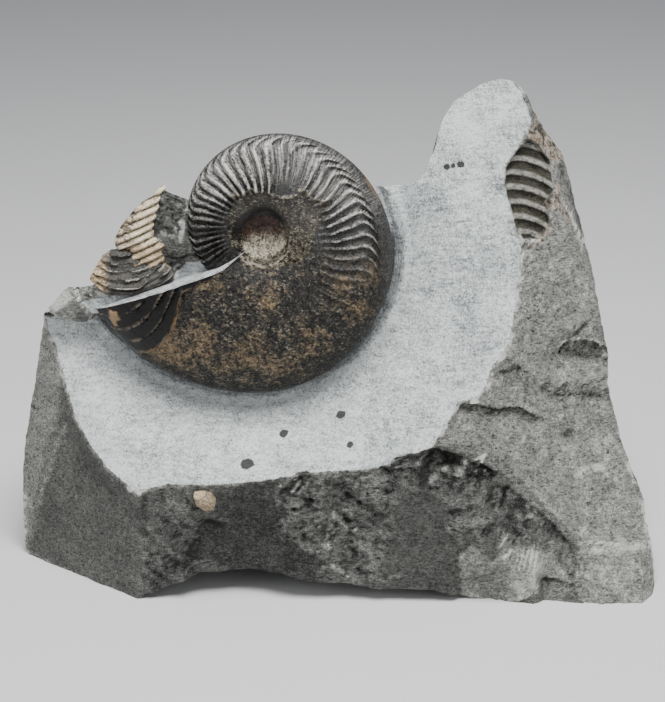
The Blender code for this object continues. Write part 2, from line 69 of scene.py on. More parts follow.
class BlockSettings(bpy.types.PropertyGroup):
    """Sizes and colours of the block of shale."""

    imprint_depth: bpy.props.FloatProperty(
        name="Imprint depth", description="Depth of the hollow that a second shell left",
        default=3.2 * MM, min=0, max=8 * MM, **LENGTH)
    imprint_rib: bpy.props.FloatProperty(
        name="Imprint rib", description="Half the height of the ribs in that hollow",
        default=0.8 * MM, min=0, max=2 * MM, **LENGTH)
    grain_depth: bpy.props.FloatProperty(
        name="Grain depth", description="Depth of the fine grain of the stone",
        default=1.15 * MM, min=0, max=4 * MM, **LENGTH)
    worked_shade: bpy.props.FloatVectorProperty(
        name="Worked, dark", description="Darkest colour of the worked stone",
        default=(0.13, 0.147, 0.152), **COLOUR)
    worked_tint: bpy.props.FloatVectorProperty(
        name="Worked, pale", description="Palest colour of the worked stone",
        default=(0.66, 0.69, 0.68), **COLOUR)
    split_shade: bpy.props.FloatVectorProperty(
        name="Split, dark", description="Darkest colour of the split stone",
        default=(0.010, 0.0105, 0.0095), **COLOUR)
    split_tint: bpy.props.FloatVectorProperty(
        name="Split, pale", description="Palest colour of the split stone, apart from fresh chips",
        default=(0.37, 0.37, 0.34), **COLOUR)


class ShellSettings(bpy.types.PropertyGroup):
    """Sizes and colours of the ammonite."""

    rib_step: bpy.props.FloatProperty(
        name="Rib step", description="Turn of the coil from one rib to the next, at the mouth",
        default=math.radians(6), min=math.radians(3), max=math.radians(20), subtype="ANGLE")
    rib_height: bpy.props.FloatProperty(
        name="Rib height", description="Half the height of the strongest ribs",
        default=0.9 * MM, min=0, max=2 * MM, **LENGTH)
    fold_height: bpy.props.FloatProperty(
        name="Fold height", description="Height of the crescent folds beside the mouth",
        default=1.5 * MM, min=0, max=3 * MM, **LENGTH)
    black_shade: bpy.props.FloatVectorProperty(
        name="Shell, dark", description="Darkest colour of the sound black shell",
        default=(0.0028, 0.0028, 0.0026), **COLOUR)
    black_tint: bpy.props.FloatVectorProperty(
        name="Shell, pale", description="Palest colour of the sound black shell",
        default=(0.042, 0.040, 0.035), **COLOUR)
    # This pale colour is partly wear and partly a painted highlight on the rib crests and crown
    worn_and_highlit_tint: bpy.props.FloatVectorProperty(
        name="Worn, pale", description="Palest colour where the ribs are rubbed",
        default=(0.78, 0.76, 0.71), **COLOUR)
    rotten_tint: bpy.props.FloatVectorProperty(
        name="Rotten, pale", description="Palest colour of the brown rotten shell",
        default=(0.33, 0.235, 0.13), **COLOUR)
    filling_shade: bpy.props.FloatVectorProperty(
        name="Filling, dark", description="Darkest colour of the stone in the mouth",
        default=(0.17, 0.18, 0.185), **COLOUR)
    filling_tint: bpy.props.FloatVectorProperty(
        name="Filling, pale", description="Palest colour of the stone in the mouth",
        default=(0.56, 0.57, 0.57), **COLOUR)


class FragmentSettings(bpy.types.PropertyGroup):
    """Sizes and colours of the broken shell behind the mouth."""

    rib_pitch: bpy.props.FloatProperty(
        name="Rib pitch", description="Distance from one rib of the broken shell to the next",
        default=2.75 * MM, min=1 * MM, max=6 * MM, **LENGTH)
    rib_height: bpy.props.FloatProperty(
        name="Rib height", description="Half the height of these ribs",
        default=0.6 * MM, min=0, max=2 * MM, **LENGTH)
    layer_step: bpy.props.FloatProperty(
        name="Layer step", description="Height of each broken layer under the ribs",
        default=3.1 * MM, min=1 * MM, max=6 * MM, **LENGTH)
    cream_shade: bpy.props.FloatVectorProperty(
        name="Cream, dark", description="Darkest colour of the ribbed shell",
        default=(0.40, 0.31, 0.19), **COLOUR)
    cream_tint: bpy.props.FloatVectorProperty(
        name="Cream, pale", description="Palest colour of the ribbed shell",
        default=(0.93, 0.83, 0.62), **COLOUR)


class StageSettings(bpy.types.PropertyGroup):
    """Floor, lights and camera."""

    floor_colour: bpy.props.FloatVectorProperty(
        name="Floor", description="Colour of the floor",
        default=(0.62, 0.62, 0.615), **COLOUR)
    sky_strength: bpy.props.FloatProperty(
        name="Sky", description="Strength of the light from all round", default=0.32, min=0, max=2)
    key_power: bpy.props.FloatProperty(
        name="Key light", description="Power of the soft light overhead",
        default=21, min=0, max=200, unit="POWER")
    camera_distance: bpy.props.FloatProperty(
        name="Distance", description="From the camera to the middle of the object",
        default=750 * MM, min=300 * MM, max=3, unit="LENGTH")
    camera_elevation: bpy.props.FloatProperty(
        name="Elevation", description="How far the camera looks down",
        default=math.radians(20), min=0, max=math.radians(80), subtype="ANGLE")
    camera_lens: bpy.props.FloatProperty(
        name="Lens", description="Focal length in millimetres", default=96.15, min=20, max=300)


# -------------------- Measures of the object

# The coil: a spiral whose radius grows by a fixed share in each turn
COIL_CENTRE = (-26, -12, 136.6)
COIL_YAW = math.radians(6)
COIL_LEAN = math.radians(4)
START_RADIUS = 30
GROWTH = 0.155
SHOULDER_RADIUS = 8.2
SHOULDER_GAIN = 0.69
SHOULDER_SHARE_LEAST = 0.15
HALF_THICKNESS_SHARE = 0.235
FATTEST_AT = 0.32
SHOULDER_DROP = 0.28
RIM_FULLNESS = 2.6
RIM_ROUNDNESS = 0.55
INNER_WHORLS = 2
HUB_HEIGHT = 0.8
HUB_RADIUS = 8.5
MOUTH_ANGLE = math.radians(200.1)
MOUTH_OFFSET = 3.5

# The worked bowl
BOWL_LEVEL = 100
BOWL_DEPTH = -22
BOWL_RISE = 0.54
BOWL_RISE_BEND = -0.0017
BOWL_SIDE = -0.06
BOWL_TWIST = 0.0003
BOWL_SIDE_BEND = 0.0015
SHELF_CORNER = (-100, 98.5)
SHELF_SLOPE = -0.12
SHELF_END = -92
SHELF_STEP = 3
CONTACT_DEPTH = -5
CONTACT_REACH = 28

# The block's edge as seen from the front: up the left side, along the top, and up the right side
LEFT_EDGE = (
    (-124.8, -10, 0), (-126, -10, 4), (-126.6, -9, 20), (-125.8, -7, 34), (-124.2, -5, 47),
    (-122.2, -2, 60), (-119.8, 0, 70), (-117.5, 2, 83), (-115.3, 3.4, 95), (-113.6, 3.4, 101.8),
    (-111.3, 4, 104.6), (-107.5, 4, 109),
)
TOP_EDGE = (
    (-107.5, 4, 109), (-104.4, 3, 112.3), (-101.8, 3, 114), (-97, 2, 114.2), (-92.5, 1.5, 115.4),
    (-90.5, 1, 119), (-87.5, 1, 123.5), (-84, 1, 126), (-82.5, 1, 131), (-80, 1, 136.5),
    (-76, 0.5, 141.5), (-71.5, 0.5, 146), (-66.5, 0, 150.5), (-63.9, 0, 152.6), (-55.2, -1, 149.6),
    (-38, -6, 146), (0, -9, 148),
    (18, -10, 154.5), (33.7, -3, 155.2), (39.8, 6, 165), (42.9, 10, 175.7), (47.6, 13, 183),
    (57.3, 15.5, 188.4), (65.4, 18, 190.5),
)
RIGHT_EDGE = (
    (127.4, -38, 0), (126.9, -35, 8), (124.8, -31, 20), (123.0, -29, 31), (119.6, -25, 38.5),
    (117.0, -22, 46.5), (113.2, -19, 56.5), (112.0, -18, 62), (108.8, -14, 75), (110.0, -9, 84),
    (108.6, -7, 88), (105.6, -5, 99), (102.5, 8, 119.5), (96.8, 18, 141), (91, 23, 160),
    (84.5, 23, 168), (76.4, 19.5, 183), (70.5, 18.5, 189.5), (65.4, 18, 190.5),
)

# How the sides draw in with depth: the width left, and the share of height lost per millimetre
EDGE_DEPTHS = (0, 12, 36, 57)
EDGE_WIDTHS = (1, 0.995, 0.965, 0.90)
EDGE_DROOPS = (0.0032, 0.0032, 0.0040, 0.0048)
BACK_DOME = 10

# Fracture faces: a point on each and the way it faces
FACES = (
    ((-126, -11.2, 0), (-0.62, -0.77, 0.17)),
    ((37, -46, 61.4), (0.32, -0.87, 0.37)),
    ((0, -52.5, 20), (-0.03, -1, 0.04)),
    ((-75, -52.3, 0), (-0.23, -0.955, 0.187)),
    ((112, -50.5, 10), (0.45, -0.89, -0.05)),
    ((89, 7.6, 142.5), (0.74, -0.5, 0.45)),
)

# Shell-shaped scars: centre, half sizes, slope of Y along X
SCARS = (
    ((-40, -74, 20), (36, 27.5, 50), 0),
    ((2, -70, 27), (36, 20.5, 42), 0.05),
    ((41, -57, 55), (17, 14, 8), 0.25),
    ((92, -60, 15), (22, 17, 19), 0.35),
    ((62, -68, 2), (26, 17, 24), 0.1),
    ((112, -49, 34), (20, 13, 18), 0.35),
    ((99, -15, 92), (22, 8, 15), 0.35),
)

# The arch that is broken out of the base's front: X and height
BASE_ARCH = (
    (-76, 0), (-74.9, 0.2), (-64, 5.5), (-57, 7.8), (-52, 9.8), (-45, 9.6), (-31, 10.9), (-20, 10.3),
    (-8, 7.6), (7, 7.0), (15, 5.4), (38, 5.0), (43, 4), (50, 1.2), (54, 0),
)
ARCH_FRONT = -53
ARCH_REACH = 30

# How far forward the foot of the right half stands: X and Y
FOOT_LINE = (
    (45, -50.5), (61, -51), (78, -56), (82, -54), (105, -57), (120, -55.5), (125, -49), (128, -38),
)
FOOT_HEIGHT = 27
BACK_SCARS = (((-40, 72, 70), (46, 14, 52), 0), ((58, 70, 40), (38, 12, 34), 0))

# Stone that isn't drawn line by line: big lumps, middle lumps, flat steps and grit
SIDE_STONE = ((1.7, 26, 3, 1.0, 1.1), (0.8, 8, 4, 0.8), (0.5, 2.2, (1, 0.4, 1), 17, 8.3), 0.4)
BACK_STONE = ((1.9, 30, 4, 1.0, 4.4), (0.9, 7, 4, 0.8), (0.6, 1.8, (1, 1, 0.6), 22, 3.7), 0.45)
BLOCK_MIDDLE = (20.0, 0.0, 80.0)
BASE_TOLERANCE = 1.3

FRONT_COLUMNS = 300
FRONT_ROWS = 219
COARSENING = 3
BAND_RINGS = 36
EDGE_SOFTNESS = 0.8


# -------------------- Places and outlines

def place_in_frame(points):
    """Drawing millimetres to frame metres, for an array of points."""
    return (np.asarray(points, float) + (0, SHIFT_Y, 0)) * MM


def coil_axes():
    """The coil's own frame: right and up in its mid plane, and out of its near flank."""
    right = Vector((math.cos(COIL_YAW), -math.sin(COIL_YAW), 0))
    out = Vector((
        -math.sin(COIL_YAW) * math.cos(COIL_LEAN),
        -math.cos(COIL_YAW) * math.cos(COIL_LEAN),
        math.sin(COIL_LEAN),
    ))
    return right, out.cross(right), out


def coil_matrix():
    right, up, out = coil_axes()
    turned = Matrix((right, up, out)).transposed().to_4x4()
    return Matrix.Translation(Vector(place_in_frame(COIL_CENTRE))) @ turned


def coil_plane_y(x, z, height=0):
    """Y of the plane that lies this far over the coil's mid plane."""
    out = coil_axes()[2]
    over = height - (x - COIL_CENTRE[0]) * out.x - (z - COIL_CENTRE[2]) * out.z
    return COIL_CENTRE[1] + over / out.y


def shell_outline(count=90):
    """The coil's rim in the drawing's X and Z, closed along the mouth."""
    right, up, _ = coil_axes()
    points = []
    for index in range(count):
        start = math.pi - MOUTH_ANGLE + TURN * index / (count - 1)
        growth = start
        for _ in range(3):
            radius = START_RADIUS * math.exp(GROWTH * growth)
            growth = start - math.asin(MOUTH_OFFSET / radius)
        at = right * (radius * math.cos(math.pi - growth)) + up * (radius * math.sin(math.pi - growth))
        points.append((COIL_CENTRE[0] + at.x, COIL_CENTRE[2] + at.z))
    return points


def nearest_on(x, z, line):
    """The nearest point of a polyline to each of many points, and how far away it is."""
    nearest = np.full(np.shape(x), np.inf)
    near_x, near_z = np.zeros(np.shape(x)), np.zeros(np.shape(x))
    for (x1, z1), (x2, z2) in zip(line, line[1:]):
        run, rise = x2 - x1, z2 - z1
        length = max(run * run + rise * rise, 1e-9)
        way = np.clip(((x - x1) * run + (z - z1) * rise) / length, 0, 1)
        away = np.hypot(x - x1 - way * run, z - z1 - way * rise)
        closer = away < nearest
        nearest = np.where(closer, away, nearest)
        near_x = np.where(closer, x1 + way * run, near_x)
        near_z = np.where(closer, z1 + way * rise, near_z)
    return near_x, near_z, nearest


def line_distance(x, z, line):
    return nearest_on(x, z, line)[2]


def depth_inside(x, z, outline):
    """Distance from many points to a closed outline, positive inside."""
    closed = list(outline) + [outline[0]]
    inside = np.zeros(np.shape(x), bool)
    for (x1, z1), (x2, z2) in zip(closed, closed[1:]):
        if z1 != z2:
            crossing = ((z1 > z) != (z2 > z)) & (x < x1 + (x2 - x1) * (z - z1) / (z2 - z1))
            inside ^= crossing
    distance = line_distance(x, z, closed)
    return np.where(inside, distance, -distance)


def ease(value):
    """A smooth climb from 0 to 1."""
    value = np.clip(value, 0, 1)
    return value * value * (3 - 2 * value)


def bell(value):
    """1 at 0, and falling to 0 within about 2 to either side."""
    return np.exp(-value ** 2)


def mound(x, z, cx, cz, reach):
    """A bell round a point."""
    return np.exp(-(((x - cx) / reach) ** 2 + ((z - cz) / reach) ** 2))


def along(line, x):
    """The second measure of a line's points at each first one."""
    return np.interp(x, *zip(*line))


def upright(x, z):
    """Points in the plane of X and Z."""
    return np.stack([x, 0 * x, z], 1)


def within(depth, shift=0.5):
    """A soft mask of 0 to 1 from the depth inside an outline."""
    return ease(depth / EDGE_SOFTNESS + shift)


def resampled(line, count):
    """A polyline's points at even steps along it."""
    line = np.asarray(line, float)
    steps = np.linalg.norm(np.diff(line, axis=0), axis=1)
    along = np.concatenate(([0], np.cumsum(steps)))
    at = np.linspace(0, along[-1], count)
    return np.stack([np.interp(at, along, line[:, axis]) for axis in range(line.shape[1])], 1)


def fractal(points, size, octaves=4, roughness=1.0, offset=0.0):
    """Fractal noise of about -1 to 1 at many points, whose largest lumps are this size."""
    moved = points / size + offset
    return np.array([noise.fractal(Vector(p), roughness, 2.0, octaves) for p in moved])


def quads(near, far):
    """Faces that join two rings of vertex numbers."""
    return np.stack([near, far, np.roll(far, -1), np.roll(near, -1)], 1)


def cells(grid):
    """Faces of a grid of vertex numbers."""
    return np.stack([grid[:-1, :-1], grid[:-1, 1:], grid[1:, 1:], grid[1:, :-1]], -1).reshape(-1, 4)


def new_mesh(name, points, faces):
    mesh = bpy.data.meshes.new(name)
    mesh.from_pydata(points, [], faces)
    return mesh


def keep(mesh, name, values):
    """Stores a number for each point of a mesh."""
    attribute = mesh.attributes.new(name, "FLOAT", "POINT")
    attribute.data.foreach_set("value", values.astype(np.float32))


# -------------------- Node trees written as sums

class Value:
    """A number in a node tree that takes part in sums as a plain number would."""

    def __init__(self, socket):
        self.socket = socket
        self.tree = socket.id_data

    def math(self, operation, *others):
        return math_node(self.tree, operation, self, *others)

    def __rsub__(self, other):
        return math_node(self.tree, "SUBTRACT", other, self)

    def __rtruediv__(self, other):
        return math_node(self.tree, "DIVIDE", other, self)

    __add__ = __radd__ = partialmethod(math, "ADD")
    __sub__ = partialmethod(math, "SUBTRACT")
    __mul__ = __rmul__ = partialmethod(math, "MULTIPLY")
    __truediv__ = partialmethod(math, "DIVIDE")
    __pow__ = partialmethod(math, "POWER")
    least = partialmethod(math, "MINIMUM")
    most = partialmethod(math, "MAXIMUM")
    over = partialmethod(math, "GREATER_THAN")

    def clamp(self, low=0, high=1):
        return self.most(low).least(high)

    def away(self, middle):
        """Distance from this number."""
        return (self - middle).math("ABSOLUTE")

    def bell(self):
        """1 at 0, and falling to 0 within about 2 to either side."""
        return (self ** 2 * -1).math("EXPONENT")

    def rise(self, low, high):
        """0 below low, 1 above high, and a smooth climb between them."""
        node = self.tree.nodes.new("ShaderNodeMapRange")
        node.interpolation_type = "SMOOTHSTEP"
        return filled(node, {"Value": self, "From Min": low, "From Max": high})

    def mix(self, other, share):
        return self + (other - self) * share


def connect(value, socket):
    """Links a value to a socket, or sets the socket to a plain number."""
    if isinstance(value, Value):
        value.tree.links.new(value.socket, socket)
    else:
        socket.default_value = value


def filled(node, values):
    """Fills a node's inputs by name and gives its first output."""
    for name, value in values.items():
        connect(value, node.inputs[name])
    return Value(node.outputs[0])


def hand_out(node, *values):
    """Fills a node's inputs in their order and gives its outputs."""
    for socket, value in zip(node.inputs, values):
        connect(value, socket)
    return [Value(socket) for socket in node.outputs]


def math_node(tree, operation, *values):
    node = tree.nodes.new("ShaderNodeMath")
    node.operation = operation
    return hand_out(node, *values)[0]


def combine(tree, *parts):
    return hand_out(tree.nodes.new("ShaderNodeCombineXYZ"), *parts)[0]


def separate(vector):
    return hand_out(vector.tree.nodes.new("ShaderNodeSeparateXYZ"), vector)


def noise_value(vector, scale, detail=3, roughness=0.55, distortion=0):
    """Noise of 0 to 1 with this many lumps to the unit."""
    return filled(vector.tree.nodes.new("ShaderNodeTexNoise"), {
        "Vector": vector, "Scale": scale, "Detail": detail, "Roughness": roughness, "Distortion": distortion,
    })


def scaled(vector, *scales):
    return combine(vector.tree, *(part * scale for part, scale in zip(separate(vector), scales)))


def stretched_noise(vector, scales, *settings):
    """Noise with its own scale along each axis."""
    return noise_value(scaled(vector, *scales), 1.0, *settings)


def blend_colours(share, first, second):
    """The first colour at share 0 and the second at 1."""
    node = share.tree.nodes.new("ShaderNodeMix")
    node.data_type = "RGBA"
    for name, value in (("Factor", share), ("A", colour(first)), ("B", colour(second))):
        connect(value, node.inputs[name])
    return Value(node.outputs["Result"])


def colour(value):
    return value if isinstance(value, Value) else (*tuple(value)[:3], 1)


def overlaid(base, *layers):
    """A colour with others over it in turn, each as its share and its colour."""
    for share, over in layers:
        base = blend_colours(share, base, over)
    return base


class Finish:
    """A new material with its shader, coordinates in millimetres and helpers for attributes."""

    def __init__(self, name, **constants):
        self.material = bpy.data.materials.new(name)
        self.material.use_nodes = True
        self.tree = self.material.node_tree
        self.shader = self.tree.nodes["Principled BSDF"]
        for socket, value in constants.items():
            self.shader.inputs[socket.replace("_", " ")].default_value = value
        coordinates = self.tree.nodes.new("ShaderNodeTexCoord")
        self.at = scaled(Value(coordinates.outputs["Object"]), 1 / MM, 1 / MM, 1 / MM)

    def attribute(self, name):
        node = self.tree.nodes.new("ShaderNodeAttribute")
        node.attribute_name = name
        return Value(node.outputs["Fac"])

    def noises(self, *all_settings):
        """Noises over the piece, each from its scale, detail, roughness and distortion."""
        return [noise_value(self.at, *settings) for settings in all_settings]

    def paint(self, value, socket="Base Color"):
        connect(value, self.shader.inputs[socket])

    def bump(self, height, depth):
        """Relief of this depth in millimetres, from a height of 0 to 1."""
        node = self.tree.nodes.new("ShaderNodeBump")
        self.paint(filled(node, {"Strength": 1, "Distance": depth * MM, "Height": height}), "Normal")


# -------------------- The block

# The worked sheet's upper edge on the left, where split stone stands behind the shell's mouth
LIP_LINE = (
    (-116.5, 98.5), (-113.3, 99.1), (-108.9, 100.8), (-104.9, 100.2), (-101.4, 99), (-97.6, 98.9),
    (-93.7, 100.8), (-90, 104.5), (-40, 122), (-26, 150), (-10, 205),
)

# The worked sheet's outline in X and Z; the rest of the front is broken
WORKED_EDGE = (
    (-114.6, 96.6), (-112.6, 91), (-110.5, 88.5), (-105.8, 75.8), (-101.4, 64.8), (-95, 55.8),
    (-87, 48.4), (-76.3, 42.7), (-72.2, 43.6), (-63.2, 46.1), (-50.7, 46.7), (-39.2, 47.8),
    (-26.9, 49.2), (-16.2, 51), (-12.4, 52.6), (2.9, 53.9), (20.3, 55.4), (23.8, 58.3),
    (32.6, 59.8), (38.3, 61.7), (42.2, 67.2), (46.7, 72.6), (48.3, 76), (55.4, 77.9),
    (59.6, 81.8), (62.1, 87.9), (65.8, 91.3), (68.5, 96.4), (70.2, 101.6), (71.2, 109.5),
    (71.6, 115.4), (74, 118.5), (72.9, 123.9), (73.8, 126.8), (73.4, 131.2), (69.4, 133.6),
    (72, 136.8), (71, 140.8), (68.2, 146.7), (67.2, 152.4), (68, 159.5), (71.1, 162.1),
    (73.7, 166.4), (75.4, 169.9), (78, 173.9), (76.8, 178.4), (74.4, 184.4), (70.9, 188.6),
    (66.6, 192), (62, 205),
) + LIP_LINE[::-1]
RIM_REACH = 9
RIM_GAP = 14

# Split stone behind the shell's mouth, its sawn foot, and the wedge at its left end
ROUGH_EDGE = ((-122, 98.5),) + LIP_LINE + ((-130, 205),)
ROUGH_LEVEL = 1
SAWN_EDGE = (
    (-98.4, 108.6), (-86.5, 110.6), (-71.9, 112.8), (-62.6, 116.6), (-61.4, 119), (-56.7, 123.6),
    (-50.9, 125.8), (-44.1, 126), (-36, 128.5), (-30, 118), (-60, 104), (-94, 103), (-96, 105.5),
)

# Lumps on the split stone: X, Z, reach and height
ROUGH_LUMPS = ((-88, 112, 14, 2.6), (-59.5, 120, 6, -4.5), (-47, 127, 6, 2.2), (-60, 143, 8, 1.4))
WEDGE_EDGE = (
    (-120, 101.2), (-108.9, 101), (-104.9, 100.4), (-101.4, 99.2), (-97.6, 99.1), (-93.7, 101),
    (-95.1, 104.4), (-97, 107.4), (-99.2, 109.9), (-100, 118), (-112, 118),
)
WEDGE_SIDE = (
    (-118, 100), (-108.2, 100.8), (-108.3, 103.9), (-104.6, 106.4), (-102.5, 109), (-99.9, 109.9),
    (-100.9, 111.9), (-101, 120), (-116, 114),
)
WEDGE_LIFT = 2.4
WEDGE_SLOPE = 1.3

# Parts of the broken front: outline in X and Z, sink, roughness and tone
PATCHES = (
    # The first, the upper right face, is made paler as painted light
    (((40, 62), (60, 60), (84, 33), (98, 20), (130, 4), (130, 130), (95, 172), (70, 140), (64, 90)),
     0, 0.85, 0.56),
    (((-71.7, 46), (-71.9, 31), (-74.3, 14), (-76, -4), (-57, -4), (-57, 16), (-50, 32), (-40, 50)),
     0, 0.9, 0.1),
    (((-57, -4), (-57, 19), (-53, 27), (-47, 32), (-40, 29), (-36, 50), (-20, 50), (-22.6, 39),
      (-19, 28), (-10.6, 20.4), (-5, 17), (7, 8), (7, -4)), 0.5, 0.22, -0.3),
    (((-57, -4), (-57, 9), (-53, 13), (-46, 14), (-41, 11), (-36, 3), (-36, -4)), -0.7, 0.4, 0.05),
    (((-20, 50), (-11.7, 52), (-1.4, 53.6), (17.4, 53), (23.2, 47.5), (25.5, 42.6), (23.9, 30),
      (21, 20), (14.8, 10), (6.7, 7), (-5.4, 17.3), (-10.6, 20.4), (-19.2, 27.7), (-21.5, 32),
      (-22.6, 39)), 0.3, 1.9, 0.2),
    (((-20, 51), (-14, 53), (-9, 51), (-13, 44), (-20, 43)), 0.2, 2.6, 0.1),
    (((25, 45.6), (41, 47), (44.6, 34), (48.4, 19), (49.4, -4), (18, -4), (21, 20), (25, 40)),
     0.4, 0.25, -0.12),
    (((-6, 12.2), (-0.8, 13.6), (4.4, 11), (8.5, 7), (8, 2), (-6, 4)), -0.6, 0.8, 0.12),
    (((18, 55), (24, 59.5), (31, 61), (39, 61), (47.4, 57), (56.7, 53.3), (64, 48.4), (58, 45),
      (48, 45), (44, 42), (36, 47), (25, 49)), 2.0, 2.8, -0.3),
    (((46, 49), (58, 48), (66.8, 43.5), (70.4, 41), (77, 36), (83.5, 30), (90, 22.8), (96.7, 16.6),
      (94.4, 6), (89, 10.6), (85.6, 17), (79.7, 20.4), (67.4, 23), (57, 27.6), (61.6, 32),
      (44.6, 35.4), (45.2, 41.4)), 1.0, 1.4, -0.12),
    (((44.6, 34), (51.6, 35.8), (61.6, 32.7), (57.3, 28.2), (49, 27.9), (44, 29.3)), -0.5, 1.5, 0.28),
    (((60, 18.2), (66, 22.4), (76.8, 20.8), (85.6, 17), (93, 6), (80.4, 8), (79.6, 4.3), (63.5, -4),
      (50, -4), (48.4, 18.8), (52, 26)), -0.4, 0.9, 1.05),
    (((81, 8), (93, 5.4), (99.5, -1), (99, -4), (81, -4)), 0.9, 1.2, -0.15),
    (((95.2, 19.4), (102.7, 19), (111, 17), (121.5, 8.3), (130, 3.4), (130, -4), (98.8, -4),
      (94.4, 5.2), (96, 12.8)), 0.7, 1.1, 0.62),
    (((88, 88), (91.5, 91), (96, 91.8), (103, 90.2), (108, 87.2), (111, 84.6), (107.5, 84.2),
      (102, 82.6), (96, 84.6), (91, 84.4)), 1.7, 2.2, -0.02),
    (((63.4, 85.6), (72, 86), (77, 82.5), (84, 78), (89, 76), (92, 79), (98, 76), (112, 72), (112, 68),
      (97, 70.5), (88, 71), (80, 74), (74, 79), (66, 82)), 0.9, 1.5, 0.05),
    (((-63.9, 154), (-54, 151), (-56.3, 143.3), (-60.4, 137.4), (-65.6, 136.1), (-70, 137.5),
      (-70, 150)), -1.2, 1.3, -0.05),
    (((-67, 135.5), (-62.2, 135.5), (-54, 135), (-50, 129.6), (-50.9, 124), (-56.1, 127.1),
      (-58.4, 124.7), (-64.7, 125.7)), 0.2, 0.6, 0.42),
    (((-66, 125), (-58, 124), (-55, 127), (-48, 127), (-40, 122), (-60, 110), (-68, 112)),
     0.3, 0.7, 0.75),
    (((-100.2, 116), (-94.2, 117), (-91, 113), (-88, 110.6), (-96.4, 108.6), (-99.8, 108.5)),
     -0.3, 2.2, 0.85),
    (((-97, 109.8), (-88.8, 111.4), (-79, 111.8), (-60, 118), (-60, 112), (-94, 104)), 0.2, 0.3, 1.1),
    (((-115, 101.7), (-112.2, 102.3), (-108.9, 101.3), (-111, 100.2), (-115, 99.1)), 3.5, 0.5, -0.7),
)

# A raised strip on the upper right edge, with two grooves
STRIP_EDGE = (
    (87.6, 158), (93, 156), (97.5, 150), (101, 138), (103.5, 127), (99.4, 127), (95, 136),
    (90.5, 143.5), (88, 150),
)
STRIP_LIFT = 0.8
STRIP_GROOVES = (((90, 155), (94.5, 145), (99, 131)), ((93, 155), (97.5, 145), (101.5, 131)))

# Crust left beside the hollow of the second shell
CRUST_EDGES = (
    ((76, 168.6), (78.6, 172.6), (79, 179), (82, 176), (84.5, 170), (89, 167), (92, 161.6),
     (95, 156), (91.4, 155), (86.3, 157.6), (84.2, 160), (81, 163), (79.5, 165.7), (76, 167)),
    ((82.6, 143.4), (84.4, 146.2), (87, 147.2), (87.6, 151), (90.4, 149), (90, 144.4), (93.2, 139),
     (95.2, 133.4), (92, 136.4), (88.4, 141), (85.6, 140.6)),
    ((84.4, 134.4), (86.8, 136), (86.2, 131.6), (82, 128.2), (76, 127.6), (75.4, 129.4), (81, 130.2)),
)

# The hollow, with the distance from rib to rib and how far each rib arches
IMPRINT_EDGE = (
    (76.5, 167), (72, 163), (67.8, 157), (67.3, 150), (69.5, 143), (71.3, 136), (74.7, 130.5),
    (82, 130), (85.3, 135), (84.5, 141), (87, 148), (85.8, 157), (81, 164),
)
IMPRINT_PITCH = 5.3
IMPRINT_FALL = 7.0

# Cracks and grooves: line, width, depth
CRACKS = (
    (((63.4, 84), (72, 84.6), (76, 81.4), (82, 76.3), (88, 73.6)), 0.7, 0.7),
    (((88, 73.4), (97.4, 72.4), (107, 69.9)), 0.6, 0.8),
    (((67.5, 43), (64.9, 36)), 0.8, 2.2),
    (((78.5, 128.4), (74.7, 126.7)), 0.9, 1.2), (((74.7, 119.4), (78.4, 122.4)), 0.5, 0.7),
    (((95.7, 94.5), (98.3, 97.5)), 0.7, 0.8), (((91, 84.6), (101, 83.6), (109, 82.4)), 0.6, 0.8),
    (((105, 63), (113.6, 54)), 0.5, 0.6), (((105, 78), (111, 75)), 0.5, 0.6),
    (((89.5, 87.5), (95, 93.5), (101.5, 99), (107, 104.5)), 0.7, 0.9),
    (((98.2, 15), (95.1, 7.1)), 0.6, 0.7), (((90, 6.5), (99.5, 3)), 0.5, 0.5),
    (((-108.9, 100.8), (-104.9, 100), (-101.4, 99), (-97.6, 98.9)), 0.5, 1.6),
    (((-64.7, 126.3), (-61.3, 125.2), (-58.4, 125.3), (-55.5, 127.4), (-51.5, 127)), 0.45, 1.0),
    (((-90.5, 116.5), (-88, 113.4), (-84.6, 111.4)), 0.5, 1.2),
    (((74, 129), (78, 131.5), (84, 130)), 0.9, 1.5), (((9, 30), (6.1, 26.9)), 0.4, 0.8),
    (((0.9, 26), (0.6, 23)), 0.3, 0.8), (((-122.5, 60.5), (-119, 60)), 0.6, 0.9),
    (((-126, 38), (-123, 37.6)), 0.4, 0.6), (((-53.3, 26.6), (-49.8, 31.9), (-44, 30)), 0.9, 0.5),
)

# The ledge under the bowl's right end: its line, and how deep and how far down it is undercut
LEDGE_LINE = (
    (47.6, 75.8), (49.4, 75.6), (55.5, 75.2), (59.7, 73), (65.8, 71.4), (71.9, 71), (76.8, 68.7),
    (84.3, 65.5),
)
LEDGE_SINK = 3.2
LEDGE_REACH = 17

# Pits: place, radius, depth
PITS = (
    ((7.2, 43.4), 2.6, 2.0), ((9.5, 41), 1.6, 1.6), ((-7.1, 40.9), 1.3, 1.3),
    ((-14.6, 38.1), 1.1, 1.2), ((6.1, 32.5), 1.9, 0.8), ((92.8, 57.4), 3.0, 2.8),
    ((57, 47.6), 2.4, 1.2), ((31.3, 52.3), 0.8, 1.2), ((119, 12.5), 0.7, 0.8),
)

